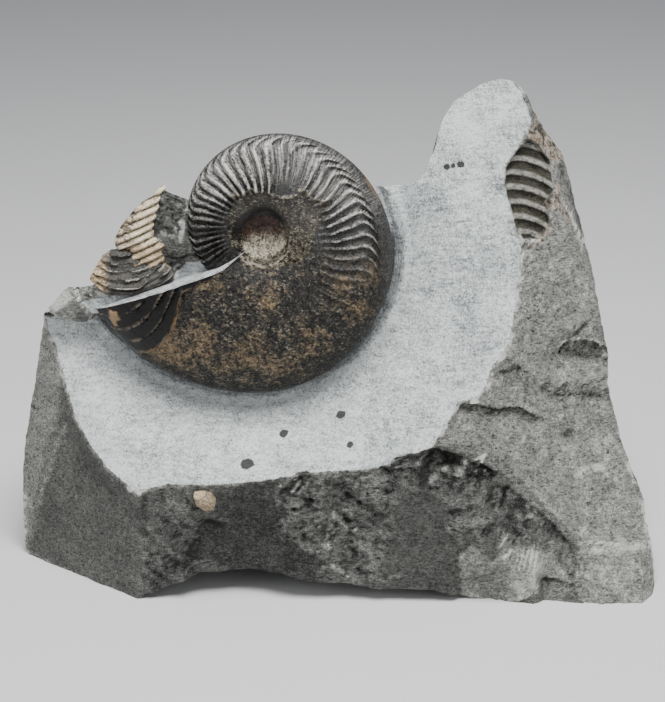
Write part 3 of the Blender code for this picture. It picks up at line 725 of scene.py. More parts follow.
# Scuffs and fresh pale chips: line, width, strength
SCUFFS = (
    (((-105.9, 58.8), (-109, 52), (-111.1, 46.5), (-115.9, 33), (-119, 22)), 1.0, 0.9),
    (((-16.3, 43.9), (-10.5, 50.1)), 0.45, 1.8), (((-19.7, 47.5), (-12.8, 51.6)), 0.35, 1.3),
    (((-14, 43), (-8.5, 49)), 0.35, 1.1), (((-126, 24), (-126, 2), (-124, 0)), 1.2, 1.0),
    (((-125, 1), (-111, 0), (-98, 0)), 0.6, 0.7), (((31.5, 54), (36, 57.5)), 0.6, 1.7),
    (((38.2, 48.8), (43.5, 51.5)), 0.8, 2.0), (((48, 50), (51.5, 54.4)), 1.0, 1.9),
    (((54, 54), (58.5, 56), (57, 53)), 0.8, 1.8), (((55, 50), (60.5, 50)), 0.5, 1.2),
    (((75.4, 31.2), (80, 32.4)), 0.7, 1.3), (((80.5, 28), (84, 29.6)), 0.5, 1.2),
    (((64, 22.5), (67, 25.6)), 0.8, 1.4), (((66, 19), (70, 21.6)), 0.6, 1.0),
    (((98.6, 15), (95.4, 7.1)), 0.5, 1.3), (((-0.2, 36.1), (0.9, 31.8), (-2.5, 28), (-0.8, 21.1)), 0.5, 1.2),
    (((2, 33), (7.5, 28), (9.5, 29.5)), 0.6, 1.1), (((96, 19.6), (103, 19.2), (111, 17.6)), 0.5, 1.1),
    (((123, 31), (126, 14), (127.6, 2)), 0.9, 1.1), (((117, 46), (119.6, 38)), 0.9, 1.0),
    (((96.2, 44.9), (102.9, 46.2), (111.9, 41)), 1.3, 0.7),
    (((90, 91.6), (97.6, 92), (104.5, 90), (109.9, 84)), 0.6, 1.1),
    (((101, 137), (103.5, 127)), 0.8, 1.5), (((90.5, 143.5), (95, 136), (99.4, 127)), 0.6, 1.1),
    (((74, 130), (82, 129.5), (85.5, 134)), 0.7, 1.2),
    (((47, 73.4), (48.6, 75), (55, 75.6)), 0.8, 2.2), (((-106, 74), (-104, 72)), 1.0, 1.3),
    (((-100.6, 64), (-99, 60.5)), 0.7, 1.3), (((-79, 42.6), (-74, 41.6), (-72, 43)), 0.9, 1.8),
    (((-4, 13.4), (1, 13.8), (6, 9.5)), 0.5, 1.2), (((15.4, 10.7), (20, 8.8), (26, 11.4)), 0.7, 1.0),
    (((-58, 10), (-53.6, 14), (-46.6, 14.6)), 0.5, 0.8),
    (((-54.6, 150), (-56, 143.3), (-58.1, 140.4), (-60.4, 137.4), (-61.6, 135.1), (-65.6, 136.1)),
     1.0, 2.6),
    (((-58.1, 140.4), (-57.8, 137.5), (-58.5, 132.9)), 0.9, 2.6),
    (((-66.8, 134.9), (-66, 129.2)), 0.7, 1.6), (((-67, 116.5), (-62, 120), (-60, 122)), 0.8, 1.4),
    (((-98, 107.4), (-96.8, 105.9), (-95.6, 103.9), (-94.7, 102.3)), 0.7, 1.4),
    (((-99.7, 110.4), (-100.4, 113.8)), 0.7, 1.8), (((-93.8, 115.6), (-91, 112.6), (-88.4, 111)), 0.8, 1.9),
    (((-101, 99), (-97.6, 98.6)), 0.6, 2.0),
)

# Where the fine ridges of the split faces run
RIDGE_LINE = ((39.1, 60.8), (50.8, 57.1), (66.2, 45.8), (80.1, 32.5), (88.6, 25.2), (95.0, 13.6))
FLOW_CENTRE = (-30, 62)
COMB_CENTRE = (75, 17.5)
COMB_STEP = 1.9
LEFT_FACE_END = -73


def softer_most(first, second, width):
    """The larger of two arrays, with the crease between them rounded over this width."""
    share = np.clip(0.5 + (first - second) / (2 * width), 0, 1)
    return second + (first - second) * share + width * share * (1 - share)


def bowl_y(x, z, outline):
    """Y of the worked surface round the shell."""
    rise = z - BOWL_LEVEL
    sheet = BOWL_DEPTH + BOWL_RISE * rise + BOWL_RISE_BEND * rise * rise + BOWL_SIDE * x
    sheet = sheet + BOWL_TWIST * x * rise + BOWL_SIDE_BEND * x * x
    over_shelf = z - SHELF_CORNER[1] - SHELF_SLOPE * (x - SHELF_CORNER[0])
    sheet = sheet - SHELF_STEP * ease(over_shelf / 0.8 + 0.5) * ease((SHELF_END - x) / 2)
    near = ease(1 + depth_inside(x, z, outline) / CONTACT_REACH)
    return sheet + (coil_plane_y(x, z, CONTACT_DEPTH) - sheet) * near


def face_y(face, x, z):
    (px, py, pz), (nx, ny, nz) = face
    return py - ((x - px) * nx + (z - pz) * nz) / ny


def scarred(y, x, z, scars, side=1):
    """Sinks shell-shaped scars into a sheet that is seen along this side of Y."""
    for (cx, cy, cz), (hx, hy, hz), slope in scars:
        inside = 1 - ((x - cx) / hx) ** 2 - ((z - cz) / hz) ** 2
        deep = cy + slope * (x - cx) + side * hy * np.sqrt(np.maximum(inside, 0))
        deeper = softer_most(y * side, deep * side, 0.5) * side
        y = np.where(inside > 0, deeper, y)
    return y


def base_z(x, y):
    """Height of the arch that is broken out of the base's front."""
    back = np.clip((y - ARCH_FRONT) / ARCH_REACH, 0, 1)
    return along(BASE_ARCH, x) * np.sqrt(1 - back ** 2)


def roughened(line, amount):
    """Jogs a line in X and Z to either side, except at its ends."""
    across = np.gradient(line, axis=0)
    across = np.stack([-across[:, 2], np.zeros(len(line)), across[:, 0]], 1)
    across /= np.linalg.norm(across, axis=1)[:, None]
    lumps = fractal(line, 13, 4) + 0.55 * fractal(line, 3.1, 2, offset=5)
    ends = ease(np.minimum(np.arange(len(line)), np.arange(len(line))[::-1]) / 8)
    return line + across * (lumps * ends * amount)[:, None]


def sheet_between(bottom, top, left, right):
    """Points of a sheet that joins four edge lines smoothly, as rows of columns."""
    u = np.linspace(0, 1, len(bottom))[None, :, None]
    v = np.linspace(0, 1, len(left))[:, None, None]
    sheet = (1 - v) * bottom[None] + v * top[None] + (1 - u) * left[:, None] + u * right[:, None]
    corners = (1 - u) * (1 - v) * bottom[0] + u * (1 - v) * bottom[-1]
    return sheet - corners - (1 - u) * v * top[0] - u * v * top[-1]


def ring_of(grid):
    """Indices round the edge of a grid of vertex numbers, counter-clockwise from its first."""
    return np.concatenate((grid[0, :-1], grid[:-1, -1], grid[-1, :0:-1], grid[:0:-1, 0]))


def imprint_phase(x, z):
    """How many ribs of the second shell's hollow lie below a point; they arch, then drop."""
    left = min(point[0] for point in IMPRINT_EDGE)
    across = (x - left) / 18
    return (z + IMPRINT_FALL * across ** 2 - 2.0 * across) / IMPRINT_PITCH


def rough_y(x, z):
    """Y of the split stone behind the mouth."""
    level = ROUGH_LEVEL + 0 * x
    for cx, cz, reach, lift in ROUGH_LUMPS:
        level = level + lift * mound(x, z, cx, cz, reach)
    return coil_plane_y(x, z, level)


def wedge_lift(x, z):
    """How far the broken wedge stands out of the rough stone, and how much each face shows."""
    inside = within(depth_inside(x, z, WEDGE_EDGE), 0)
    side = depth_inside(x, z, WEDGE_SIDE)
    lift = WEDGE_LIFT - WEDGE_SLOPE * np.maximum(side, 0)
    return lift * inside, inside * ease(side / 0.6 + 0.5), inside


def warped(x, z, warp):
    """Places pushed aside by noise, for edges that wander."""
    return x + warp, z - 0.8 * warp


def mark_faces(relief, tone, x, z, warp):
    """Adds the fine ridges that run over each split face, and the faces' tones, with painted light making the
    upper right face paler.
    """
    ridge = line_distance(x, z, RIDGE_LINE)
    ridge_z = along(RIDGE_LINE, x)
    flow = np.hypot(x - FLOW_CENTRE[0], z - FLOW_CENTRE[1])
    striped = (z > ridge_z) * ease((16 - ridge) / 12) * ease((x - 44) / 8) * ease((100 - x) / 10)
    flowing = ease((-48 - x) / 6) * ease((x + 75) / 3) * ease((46 - z) / 6)
    facet = ease((x + 70) / 3) * ease((-50 - x) / 3) * ease((z - 137) / 3)
    for across, down, size, offset, height, shade, where in (
        (ridge * 1.4 + 0.6 * warp, (x - z) * 0.05, 1.6, 0, 0.3, 0.34, striped),
        (flow, 0.06 * (x + z), 2.1, 2.2, 0.55, 0.4, flowing),
        (z + 0.55 * x, 0.12 * (x - z), 1.7, 4.1, 0.5, 0.45, facet),
    ):
        lines = fractal(upright(across, down), size, 3, offset=offset)
        relief += height * lines * where
        tone += shade * lines * where
    hackles = np.sin((x * 0.96 - z * 0.28 + 0.5 * warp) * TURN / COMB_STEP) * 0.5 + 0.5
    combed = ease((5.5 - np.hypot((x - COMB_CENTRE[0]) / 1.3, z - COMB_CENTRE[1])) / 2)
    relief += 0.4 * hackles * combed
    tone += 0.7 * (hackles - 0.5) * combed

    # Painted light: the upper right face, which faces the light, is paler
    tone += 0.42 * ease((z - ridge_z) / 2.5) * ease((x - 38) / 4)
    tone += (
        0.38 * ease((17 - np.hypot(x - 82, (z - 10) * 1.2)) / 5)
        + 0.3 * ease((x - 96) / 4) * ease((20 - z) / 4))
    tone += 0.16 * ease((x - 92) / 6) * ease((62 - z) / 10)
    tone += 0.78 * ease((-108 + 0.25 * (z - 60) - x + warp) / 5) + 0.08 * ease((LEFT_FACE_END - x) / 2)
    tone -= 0.2 * flowing + 0.06 * ease((x + 48) / 6) * ease((8 - x) / 6)


def cut_marks(sink, tone, x, z, warp, middle, fine):
    """Sinks the ledge, with a painted shadow under it, the cracks and the pits, and wears the scuffs, each
    with its tone.
    """
    wx, wz = warped(x, z, warp)
    under_edge = LEDGE_REACH - line_distance(x, z, LEDGE_LINE)
    ledge_z = along(LEDGE_LINE, x) + 0.5 * warp
    ends = ease((x - 46) / 3) * ease((86 - x) / 12)
    under = ease((ledge_z - z) / 0.8) * ends
    sink += LEDGE_SINK * under * np.clip(under_edge / LEDGE_REACH, 0, 1) ** 1.4
    # Painted shadow under the ledge: darker just below it, with a crisp black line along its edge
    tone -= 0.4 * under * np.clip((5 - (ledge_z - z)) / 5, 0, 1)
    tone -= 1.5 * bell((ledge_z - z - 0.4) / 0.6) * ends
    for line, width, depth in CRACKS:
        cut = bell(line_distance(wx * 0.5 + x * 0.5, wz * 0.5 + z * 0.5, line) / width)
        sink += depth * cut
        tone -= 0.5 * cut
    for (cx, cz), radius, depth in PITS:
        cut = ease(1.25 - np.hypot(wx - cx, wz - cz) / radius)
        sink += depth * cut
        tone -= 0.55 * cut
    for line, width, strength in SCUFFS:
        worn = bell(line_distance(x + 0.4 * warp, z, line) / width)
        tone += strength * worn * np.clip(0.8 + 1.0 * fine, 0.2, 1)
        sink -= 0.3 * worn * (0.3 + middle)


def broken_relief(x, y, z):
    """Relief and tone of the broken front, and its mask of crust."""
    at = np.stack([x, y, z], 1)
    warp = 1.6 * fractal(at, 7, 3, offset=3.3)
    wx, wz = warped(x, z, warp)
    coarse = fractal(at, 21, 3)
    middle = fractal(at, 6.5, 4, 0.8, offset=9.1)
    fine = fractal(at, 1.9, 3, 0.7, offset=4.7)
    rough = np.full(len(x), 0.55)
    rough = rough + (0.2 - rough) * ease((LEFT_FACE_END - x) / 2)
    sink = np.zeros(len(x))
    tone = 0.12 * coarse
    for outline, deep, roughness, lightness in PATCHES:
        inside = within(depth_inside(wx, wz, outline))
        rough = rough + (roughness - rough) * inside
        tone = tone + (lightness - tone) * inside * 0.85
        sink = sink + deep * inside
    upper_right = ease((x - 40) / 12) * ease((z - 62) / 8)
    laminated = fractal(at * (0.35, 1, 2.2), 4.5, 3, 0.7, offset=1.7)
    rows = fractal(at * (0.35, 1, 1), 2.4, 3, 0.7, offset=6.6)
    relief = 0.8 * coarse * np.minimum(rough * 1.6, 1) + 0.52 * middle * rough + 0.3 * fine * (0.5 + rough)
    relief += (0.3 * laminated + 0.22 * rows) * upper_right
    tone += (0.2 * rows + 0.12 * fine) * upper_right
    mark_faces(relief, tone, x, z, warp)
    cut_marks(sink, tone, x, z, warp, middle, fine)

    strip = within(depth_inside(x, z, STRIP_EDGE), 0)
    relief = relief * (1 - 0.85 * strip) + STRIP_LIFT * strip
    for line in STRIP_GROOVES:
        groove = bell(line_distance(x, z, line) / 0.9)
        relief -= 0.8 * groove
        tone -= 0.6 * groove
    tone -= 0.22 * strip
    crust = np.max([within(depth_inside(wx, wz, edge), 0.2) for edge in CRUST_EDGES], axis=0)
    relief += 0.9 * crust * (0.5 + middle)
    tone += (middle + 0.9 * fine) * 0.4 * np.minimum(rough, 1.4) * (1 - crust)
    return relief - sink, tone, crust


def broken_y(x, z, outline):
    """Y of the broken front: fracture faces and scars, drawn to meet the worked sheet's rim."""
    def split(x, z):
        faces = face_y(FACES[0], x, z)
        for face in FACES[1:]:
            faces = softer_most(faces, face_y(face, x, z), 0.5)
        return scarred(faces, x, z, SCARS)

    rim_x, rim_z, away = nearest_on(x, z, WORKED_EDGE + WORKED_EDGE[:1])
    swerve = 1.6 * fractal(upright(x, z), 16, 3, offset=7.7)
    gap = np.clip(bowl_y(rim_x, rim_z, outline) - split(rim_x, rim_z), -RIM_GAP, RIM_GAP)
    faces = split(x + swerve * ease(away / 8), z - swerve * ease(away / 8))
    return faces + gap * ease(1 - away / (RIM_REACH + abs(gap) * 0.8))


def bowl_relief(at, contact):
    """How far the ground stone stands proud: gentle waves, a lumpy brim and the shell's groove."""
    waves = 0.12 * fractal(at, 18, 3, offset=6.1) + 0.035 * fractal(at, 2.6, 2)
    lumps = fractal(at, 4.5, 3, 0.7, offset=5.5)
    brim = bell((contact + 3.4) / 1.5) * (0.5 + 0.9 * lumps)
    return waves + (brim - 0.9 * bell((contact + 0.8) / 1.1))


def block_front(outline, settings):
    """The front sheet: its points, which rise and fall in Y alone, and its masks."""
    bottom = resampled((LEFT_EDGE[0], RIGHT_EDGE[0]), FRONT_COLUMNS + 1)
    left = roughened(resampled(LEFT_EDGE, FRONT_ROWS + 1), 0.45)
    right = roughened(resampled(RIGHT_EDGE, FRONT_ROWS + 1), 0.8)
    top = roughened(resampled(TOP_EDGE, FRONT_COLUMNS + 1), 0.3)
    wavy = fractal(bottom, 9, 3)
    bottom[:, 2] = base_z(bottom[:, 0], np.full(len(bottom), ARCH_FRONT))
    bottom[1:-1, 2] += np.maximum(0, wavy[1:-1]) * 0.9
    grid = sheet_between(bottom, top, left, right)
    x, z = grid[..., 0].ravel(), grid[..., 2].ravel()
    at = upright(x, z)

    faces = broken_y(x, z, outline)
    low = np.clip(1 - z / FOOT_HEIGHT, 0, 1) ** 1.2 * ease((x - 45) / 8)
    faces += (along(FOOT_LINE, x) - broken_y(x, 0 * x, outline)) * low
    relief, tone, crust = broken_relief(x, faces, z)
    chips = fractal(at, 3.4, 3, 0.8, offset=2.9)
    worked = depth_inside(x, z, WORKED_EDGE) + 0.4 * chips
    meeting = ease(-worked / 3)
    lift, wedge_top, wedge = wedge_lift(x + 0.5 * chips, z)
    sawn = depth_inside(x, z, SAWN_EDGE) + 0.4 * chips
    relief = relief * (0.35 + 0.65 * meeting) * (1 - 0.85 * within(sawn)) + lift
    tone = tone * (1 - wedge_top) + 1.5 * wedge_top - 0.05 * wedge * (1 - wedge_top)
    contact = depth_inside(x, z, outline)
    in_bowl = within(worked)
    faces = faces + (rough_y(x, z) - faces) * within(depth_inside(x, z, ROUGH_EDGE))
    y = (faces - relief) * (1 - in_bowl) + (bowl_y(x, z, outline) - bowl_relief(at, contact)) * in_bowl
    edge = bell((worked + 0.35) / 0.75)
    y += edge * np.clip(chips, 0, 1) * 0.9
    tone = tone + edge * np.clip(0.75 + 1.5 * chips, 0, 1.6)

    hollow = depth_inside(x, z, IMPRINT_EDGE)
    rib = 0.5 + 0.5 * np.cos((imprint_phase(x, z) - 0.18) * TURN)
    in_hollow = ease((hollow + 0.7) / 1.8)
    y += (settings.imprint_depth - settings.imprint_rib * (2 * rib - 1)) / MM * in_hollow
    points = np.stack([x, y, z], 1)
    masks = {
        "worked": np.clip(np.maximum(worked, sawn), -4, 4), "tone": tone, "crust": crust,
        "hollow": np.clip(hollow, -3, 3), "phase": imprint_phase(x, z),
        "contact": np.clip(-contact, 0, 20) + 20 * within(sawn),
    }
    return points, masks


def fractured(points, big, middle, steps, grit):
    """Lumps of broken stone; each of the four kinds has its height first."""
    height, count, squash, size, offset = steps
    lumps = big[0] * fractal(points, *big[1:]) + middle[0] * fractal(points, *middle[1:])
    lumps += height * np.round(count * fractal(points * squash, size, 3, offset=offset))
    return lumps + grit * fractal(points, 3.4, 3, 0.7, offset=2.1)


def block_sides(edge):
    """Rings of points from the front's edge round the sides to the back."""
    start = edge[:, 1]
    on_base = edge[:, 2] <= base_z(edge[:, 0], start) + BASE_TOLERANCE
    rings = []
    for index in range(BAND_RINGS):
        depth = start + (EDGE_DEPTHS[-1] - start) * (index + 1) / BAND_RINGS
        droop = np.interp(depth, EDGE_DEPTHS, EDGE_DROOPS) * np.maximum(0, depth - start)
        x = edge[:, 0] * np.interp(depth, EDGE_DEPTHS, EDGE_WIDTHS)
        z = np.where(on_base, base_z(x, depth), edge[:, 2] * (1 - droop))
        ring = np.stack([x, depth, z], 1)
        out = (ring - BLOCK_MIDDLE) * (1, 0, 1)
        out /= np.linalg.norm(out, axis=1)[:, None]
        lumps = fractured(ring, *SIDE_STONE) * ~on_base * ease(index / 4)
        ring = ring + out * lumps[:, None]
        ring[:, 2] = np.maximum(ring[:, 2], 0)
        rings.append(ring)
    return rings


def block_back(ring, columns, rows):
    """The back sheet inside the last ring, bulging and scarred."""
    right = ring[columns:columns + rows + 1]
    top = ring[columns + rows:2 * columns + rows + 1][::-1]
    left = np.concatenate((ring[2 * columns + rows:], ring[:1]))[::-1]
    sheet = sheet_between(ring[:columns + 1], top, left, right)
    u = np.linspace(-1, 1, columns + 1)[None, :]
    v = np.linspace(-1, 1, rows + 1)[:, None]
    dome = (1 - np.maximum(u ** 4, v ** 4)).ravel()
    flat = sheet.reshape(-1, 3)
    x, y, z = flat.T
    bulged = y + dome ** 0.6 * (BACK_DOME + fractured(flat, *BACK_STONE)) - 1.2
    flat[:, 1] = np.where(dome > 0, scarred(bulged, x, z, BACK_SCARS, -1), y)
    return sheet


def seam_triangles(fine, coarse):
    """Joins a ring of vertex numbers to one with a third as many."""
    first, second, third = (fine[start::COARSENING] for start in range(COARSENING))
    corners = (
        (first, coarse, second), (second, coarse, third), (third, coarse, np.roll(coarse, -1)),
        (third, np.roll(coarse, -1), np.roll(first, -1)),
    )
    return np.concatenate([np.stack(corner, 1) for corner in corners])


def rear_masks(rear, bevelled):
    """The masks of the sides and back; the bevel along the bowl's top is worked too."""
    x, _, z = rear.T
    bevel = bevelled & (x > 30) & (x < 60) & (z > 150)
    tone = 0.16 + 0.3 * fractal(rear, 14, 4, 0.8) + 0.25 * fractal(rear, 3.5, 3, 0.7, offset=5)
    tone = tone + 0.26 * ease((x - 100) / 8) + 0.1 * ease((-112 - x) / 6)
    return {"worked": np.where(bevel, 4.0, -4.0), "tone": tone, "hollow": -3.0}


def block_mesh(outline, settings):
    """The whole block: front sheet, rings round the sides and back sheet, closed."""
    front, masks = block_front(outline, settings)
    front_grid = np.arange(len(front)).reshape(FRONT_ROWS + 1, FRONT_COLUMNS + 1)
    edge = ring_of(front_grid)
    rings = block_sides(front[edge[::COARSENING]])
    sheet = block_back(rings[-1], FRONT_COLUMNS // COARSENING, FRONT_ROWS // COARSENING)
    inner = sheet[1:-1, 1:-1]
    points = np.concatenate([front, *rings, inner.reshape(-1, 3)])

    size = len(rings[0])
    numbers = len(front) + np.arange(BAND_RINGS * size).reshape(BAND_RINGS, size)
    back_grid = np.arange(sheet[..., 0].size).reshape(sheet.shape[:2])
    back_edge = ring_of(back_grid)
    back_grid[1:-1, 1:-1] = numbers[-1, -1] + 1 + np.arange(inner[..., 0].size).reshape(inner.shape[:2])
    back_grid.flat[back_edge] = numbers[-1]
    squares = [cells(front_grid), cells(back_grid)[:, ::-1]]
    squares += [quads(near, far) for near, far in zip(numbers, numbers[1:])]
    faces = np.concatenate(squares).tolist() + seam_triangles(edge, numbers[0]).tolist()
    mesh = new_mesh("block", place_in_frame(points).tolist(), faces)

    rear = points[len(front):]
    fill = rear_masks(rear, np.arange(len(rear)) < 2 * size)
    for name, values in masks.items():
        keep(mesh, name, np.concatenate([values, np.broadcast_to(fill.get(name, 0.0), len(rear))]))
    return mesh


# The dark spots in the bowl: X, Z and radius
BOWL_SPOTS = (
    (-32.9, 52.9, 2.7), (-18.9, 60.7, 1.9), (3.3, 68.8, 1.9), (6.7, 61.8, 1.4),
    (44.5, 158.4, 1.3), (46.9, 158.9, 0.9), (50, 159.2, 1.4),
)


def bowl_spots(outline):
    """The dark spots as points of the worked sheet: x, y, z and radius."""
    for x, z, radius in BOWL_SPOTS:
        yield x, float(bowl_y(np.array([x]), np.array([z]), outline)[0]) + SHIFT_Y, z, radius


# Colours of the stone; of two, the first is that of its darkest grains
# Painted shade round the shell, and its dark cracks
SHADE_AND_CRACK_DARK = ((0.008, 0.009, 0.010), (0.085, 0.092, 0.10))
SPOT = (0.02, 0.02, 0.017)
FRESH_CHIP = (0.58, 0.58, 0.54)
CRUST = ((0.05, 0.042, 0.032), (0.44, 0.39, 0.32))
CRUST_RUST = (0.22, 0.115, 0.05)
IMPRINT_OLIVE = ((0.016, 0.015, 0.009), (0.075, 0.07, 0.05))
# Chalk on the hollow's ledges, made paler as painted light, and a painted shadow line beside them
IMPRINT_LIT_CHALK = ((0.13, 0.125, 0.10), (0.34, 0.335, 0.30))
IMPRINT_SHADOW_LINE = (0.008, 0.008, 0.006)


def imprint_colour(finish, mottle, gravel, grain):
    """The second shell's hollow, chalky on its ribs with painted light on their up-facing ledges and a
    painted shadow line beside each, and how much of the chalk shows.
    """
    turn = (finish.attribute("phase") + (mottle - 0.5) * 0.14).math("FRACT")
    # The band on each ledge: chalky dust, and paler as painted light where the ledge faces up
    lit_chalky = turn.rise(0.0, 0.12) * (1 - turn.rise(0.30, 0.48))
    olive = blend_colours((grain * 0.6 + gravel * 0.4).rise(0.35, 0.7), *IMPRINT_OLIVE)
    lit_chalk = blend_colours((gravel - 0.5).rise(-0.2, 0.15), *IMPRINT_LIT_CHALK)
    # A painted shadow line beside each ledge
    line = (1 - turn.away(0.92).rise(0.02, 0.07)) * 0.8
    return overlaid(olive, (lit_chalky, lit_chalk), (line, IMPRINT_SHADOW_LINE)), lit_chalky


def stone_finish(outline, settings):
    """Pale ground stone where the sheet was worked, dark split stone elsewhere."""
    finish = Finish("shale", Specular_IOR_Level=0.35)
    at = finish.at
    x, y, z = separate(at)
    cloud, mottle, gravel, grain, speck = finish.noises(
        (0.05, 4, 0.6), (0.16, 5, 0.7), (0.5, 4, 0.7), (1.3, 3, 0.75), (1.5, 2, 0.5))
    streak = stretched_noise(at, (0.22, 0.22, 1.0), 3, 0.6, 0.6)
    tooled = stretched_noise(at, (0.07, 0.07, 0.4), 4, 0.65, 1.2)
    brushed = stretched_noise(at, (0.5, 0.5, 0.16), 4, 0.7, 2.0)
    flakes = stretched_noise(at, (0.5, 1.0, 1.5), 3, 0.75, 0.5)
    tone = finish.attribute("tone")
    contact = finish.attribute("contact") + (gravel - 0.5) * 1.6
    worked = (finish.attribute("worked") + (gravel - 0.5) * 1.4).rise(-0.25, 0.25)

    # Ground stone: cloudy and streaked by the tool, and darkened round the shell by painted shade, with dark
    # cracks to its right
    ground = 0.61 + (cloud - 0.5) * (0.7 + x.rise(20, 50) * 0.8) + (mottle - 0.5) * 0.9 + (grain - 0.5) * 2.7
    # Painted light: darker over the bowl's steep right part, and paler low down, where the bowl faces up to
    # the light
    ground = ground - x.rise(25, 55) * z.rise(70, 95) * (1 - z.rise(140, 160)) * 0.12
    ground = ground + (streak - 0.5) * 0.8 + (tooled - 0.5) * 0.9 + (brushed - 0.5) * 0.9
    ground = ground + (gravel - 0.5) * 1.0 + (tone * 0.3).least(0.12) + (90 - z).clamp(-50, 50) * 0.0022
    ground = ground + (contact.rise(4.6, 5.6) - contact.rise(6.5, 8)) * 0.22
    lines = combine(finish.tree, finish.attribute("contact") * 1.3, x * 0.04, z * 0.04)
    lines = noise_value(lines, 1.0, 3, 0.7).rise(0.42, 0.58)
    # A painted shadow band beside the shell, broken into lines along its edge, and painted shade on the left
    # near it
    soft = (1 - contact.rise(3.6, 5.2)) * (lines * 0.3 + 0.3)
    soft = soft.most((1 - contact.rise(5, 14)) * mottle.rise(0.4, 0.6) * (1 - x.rise(-60, -45)) * 0.35)
    # Dark cracks running out from the shell on the right
    cracked = (1 - contact.rise(1.5, 8)) * streak.rise(0.56, 0.66) * x.rise(15, 35) * 0.8
    # A painted shadow line in the groove where the shell meets the stone
    groove = 1 - contact.rise(0.7, 1.9)
    # The painted shade and the dark cracks together
    painted_light_and_marks = (groove.most(soft.most(cracked)) * (1 - z.rise(134, 142) * 0.85)).clamp()
    spots = 0.0
    for cx, cy, cz, radius in bowl_spots(outline):
        away = ((x - cx) ** 2 + (y - cy) ** 2 + (z - cz) ** 2) ** 0.5
        away = away + (gravel - 0.5) * 1.5 + (mottle - 0.5) * 1.5
        spots = (1 - away.rise(radius * 0.85, radius * 1.1)).most(spots)
    pale = overlaid(
        blend_colours(ground.clamp(), settings.worked_shade, settings.worked_tint),
        (painted_light_and_marks, blend_colours(grain, *SHADE_AND_CRACK_DARK)), (spots * 0.95, SPOT))

    # Split stone: the paler its tone, the coarser its grain
    split = 0.185 + tone * 0.38 + (grain - 0.5) * (tone * 1.2 + 0.6).clamp(0.5, 1.5)
    split = split + (flakes - 0.5) * (tone * 1.5 + 0.8).clamp(0.5, 1.8)
    split = split + (gravel - 0.5) * (tone * 0.6 + 0.4).clamp(0.3, 0.9) + (mottle - 0.5) * 0.2
    split = split + speck.rise(0.60, 0.72) * 0.2
    dark = overlaid(
        blend_colours(split.clamp(), settings.split_shade, settings.split_tint),
        ((tone + (grain - 0.5) * 1.6).rise(1.0, 1.8), FRESH_CHIP))

    crust = overlaid(
        blend_colours((gravel * 0.7 + mottle * 0.3).rise(0.42, 0.60), *CRUST),
        (mottle.rise(0.56, 0.68) * 0.8, CRUST_RUST))
    imprint, lit_chalky = imprint_colour(finish, mottle, gravel, grain)
    hollow = (finish.attribute("hollow") + (gravel - 0.5) * 1.2).rise(-0.1, 0.35)
    finish.paint(overlaid(
        dark, (worked, pale), (hollow, imprint), (finish.attribute("crust").clamp(), crust)))
    finish.paint(0.8 - hollow * (1 - lit_chalky) * 0.25 - painted_light_and_marks * worked * 0.15, "Roughness")
    height = grain * 0.35 + gravel * (1 - worked * 0.85) * 1.1 + streak * worked * 0.25
    height = height + flakes * (1 - worked) * 0.8
    height = height + gravel * painted_light_and_marks * worked * 0.9
    finish.bump(height, settings.grain_depth / MM)
    return finish.material


# -------------------- The shell

SHELL_COLUMNS = 800
FACE_COLUMNS = 26
SHELL_ROWS = 120
HUB_ROW = 0.11
RIM_ROW = 0.84
ROW_CROWDING = 1.35
MERGE_DISTANCE = 0.0000002
BACK_HUB_HEIGHT = 6
MOUTH_START = math.pi - MOUTH_ANGLE
MOUTH_SAG = 2.8
MOUTH_SAG_REACH = 12
BELLY_GAIN = 0.028
BELLY_AT = 4.54
BELLY_WIDTH = 0.5
NAVEL_TOP_GAIN = 1.9
NAVEL_TOP_AT = 1.7
NAVEL_TOP_WIDTH = 0.7
NAVEL_SEAM_SHARE = 0.83

# Ribs: places round the coil are degrees of sweep from the mouth
RIB_SPREAD = 0.0145
RIB_SHIFT = 0.35
RIB_WANDER = 0.7
RIBS_CLOSER_FROM = 150
RIBS_CLOSER = 0.045
RIBS_TURN = (120, 190)
RIBS_END = (204, 238)
RIB_TRAIL = 24
RIB_TRAIL_FROM = 0.85
WORN_AT = (136, 17)
NUMB_CENTRE = (5, 2)
NUMB_HALF_SIZES = (17.5, 15)
LATE_RIB_SHARE = 0.34
FOLDS_FROM = 336
FOLD_STEP = 5.6
FOLD_CURL = 104
FOLD_CURL_SHARES = (0.42, 0.8)

# The rotten skin round the navel, seen in the coil's own plane
SKIN_TOP = (
    (-12.5, 15.2), (-11.5, 16.2), (-8.7, 16.9), (-6.1, 17.3), (-4, 18.6), (-1.6, 17.8), (2.9, 17.7),
    (5, 16.3), (8, 15.9), (10.4, 16), (14.4, 18.7), (17.9, 18.8), (18.7, 15.7), (21.5, 15.8),
    (24.5, 15.5), (27, 17),
)
SKIN_EDGE = SKIN_TOP + ((25, 10), (21, 3), (20, -4), (14, -9), (4, -12), (-6, -11), (-12, -4), (-14, 4))

# Spots of tan skin on the body: place, radius and strength
TAN_SPOTS = (
    (32.2, -17, 2.4, 0.4), (0.9, -22.8, 1.9, 0.7), (3.4, -25, 2.2, 0.8), (-3.7, -21.7, 1.7, 0.6),
    (42.5, -11, 2.6, 0.9), (44, -15.4, 2.6, 0.8), (38.5, -14, 2.2, 0.5), (-22, -40, 6, 0.4),
    (-40, -44, 7, 0.5), (-8, -44, 6, 0.35), (10, -48, 7, 0.3), (-50, -38, 4, 0.5),
)

# Where the shell is chipped at its mouth
MOUTH_CHIP = ((-59.5, -29.8), (-55.8, -29.8), (-54.8, -33.5), (-57.3, -37.2), (-59.8, -33.5))


# The kinds of the trees' sockets that aren't plain numbers
SOCKET_KINDS = {
    "Point": "Vector", "Columns": "Int", "Rows": "Int", "Mouth columns": "Int",
    "Shell finish": "Material", "Mouth finish": "Material", "Geometry": "Geometry",
}


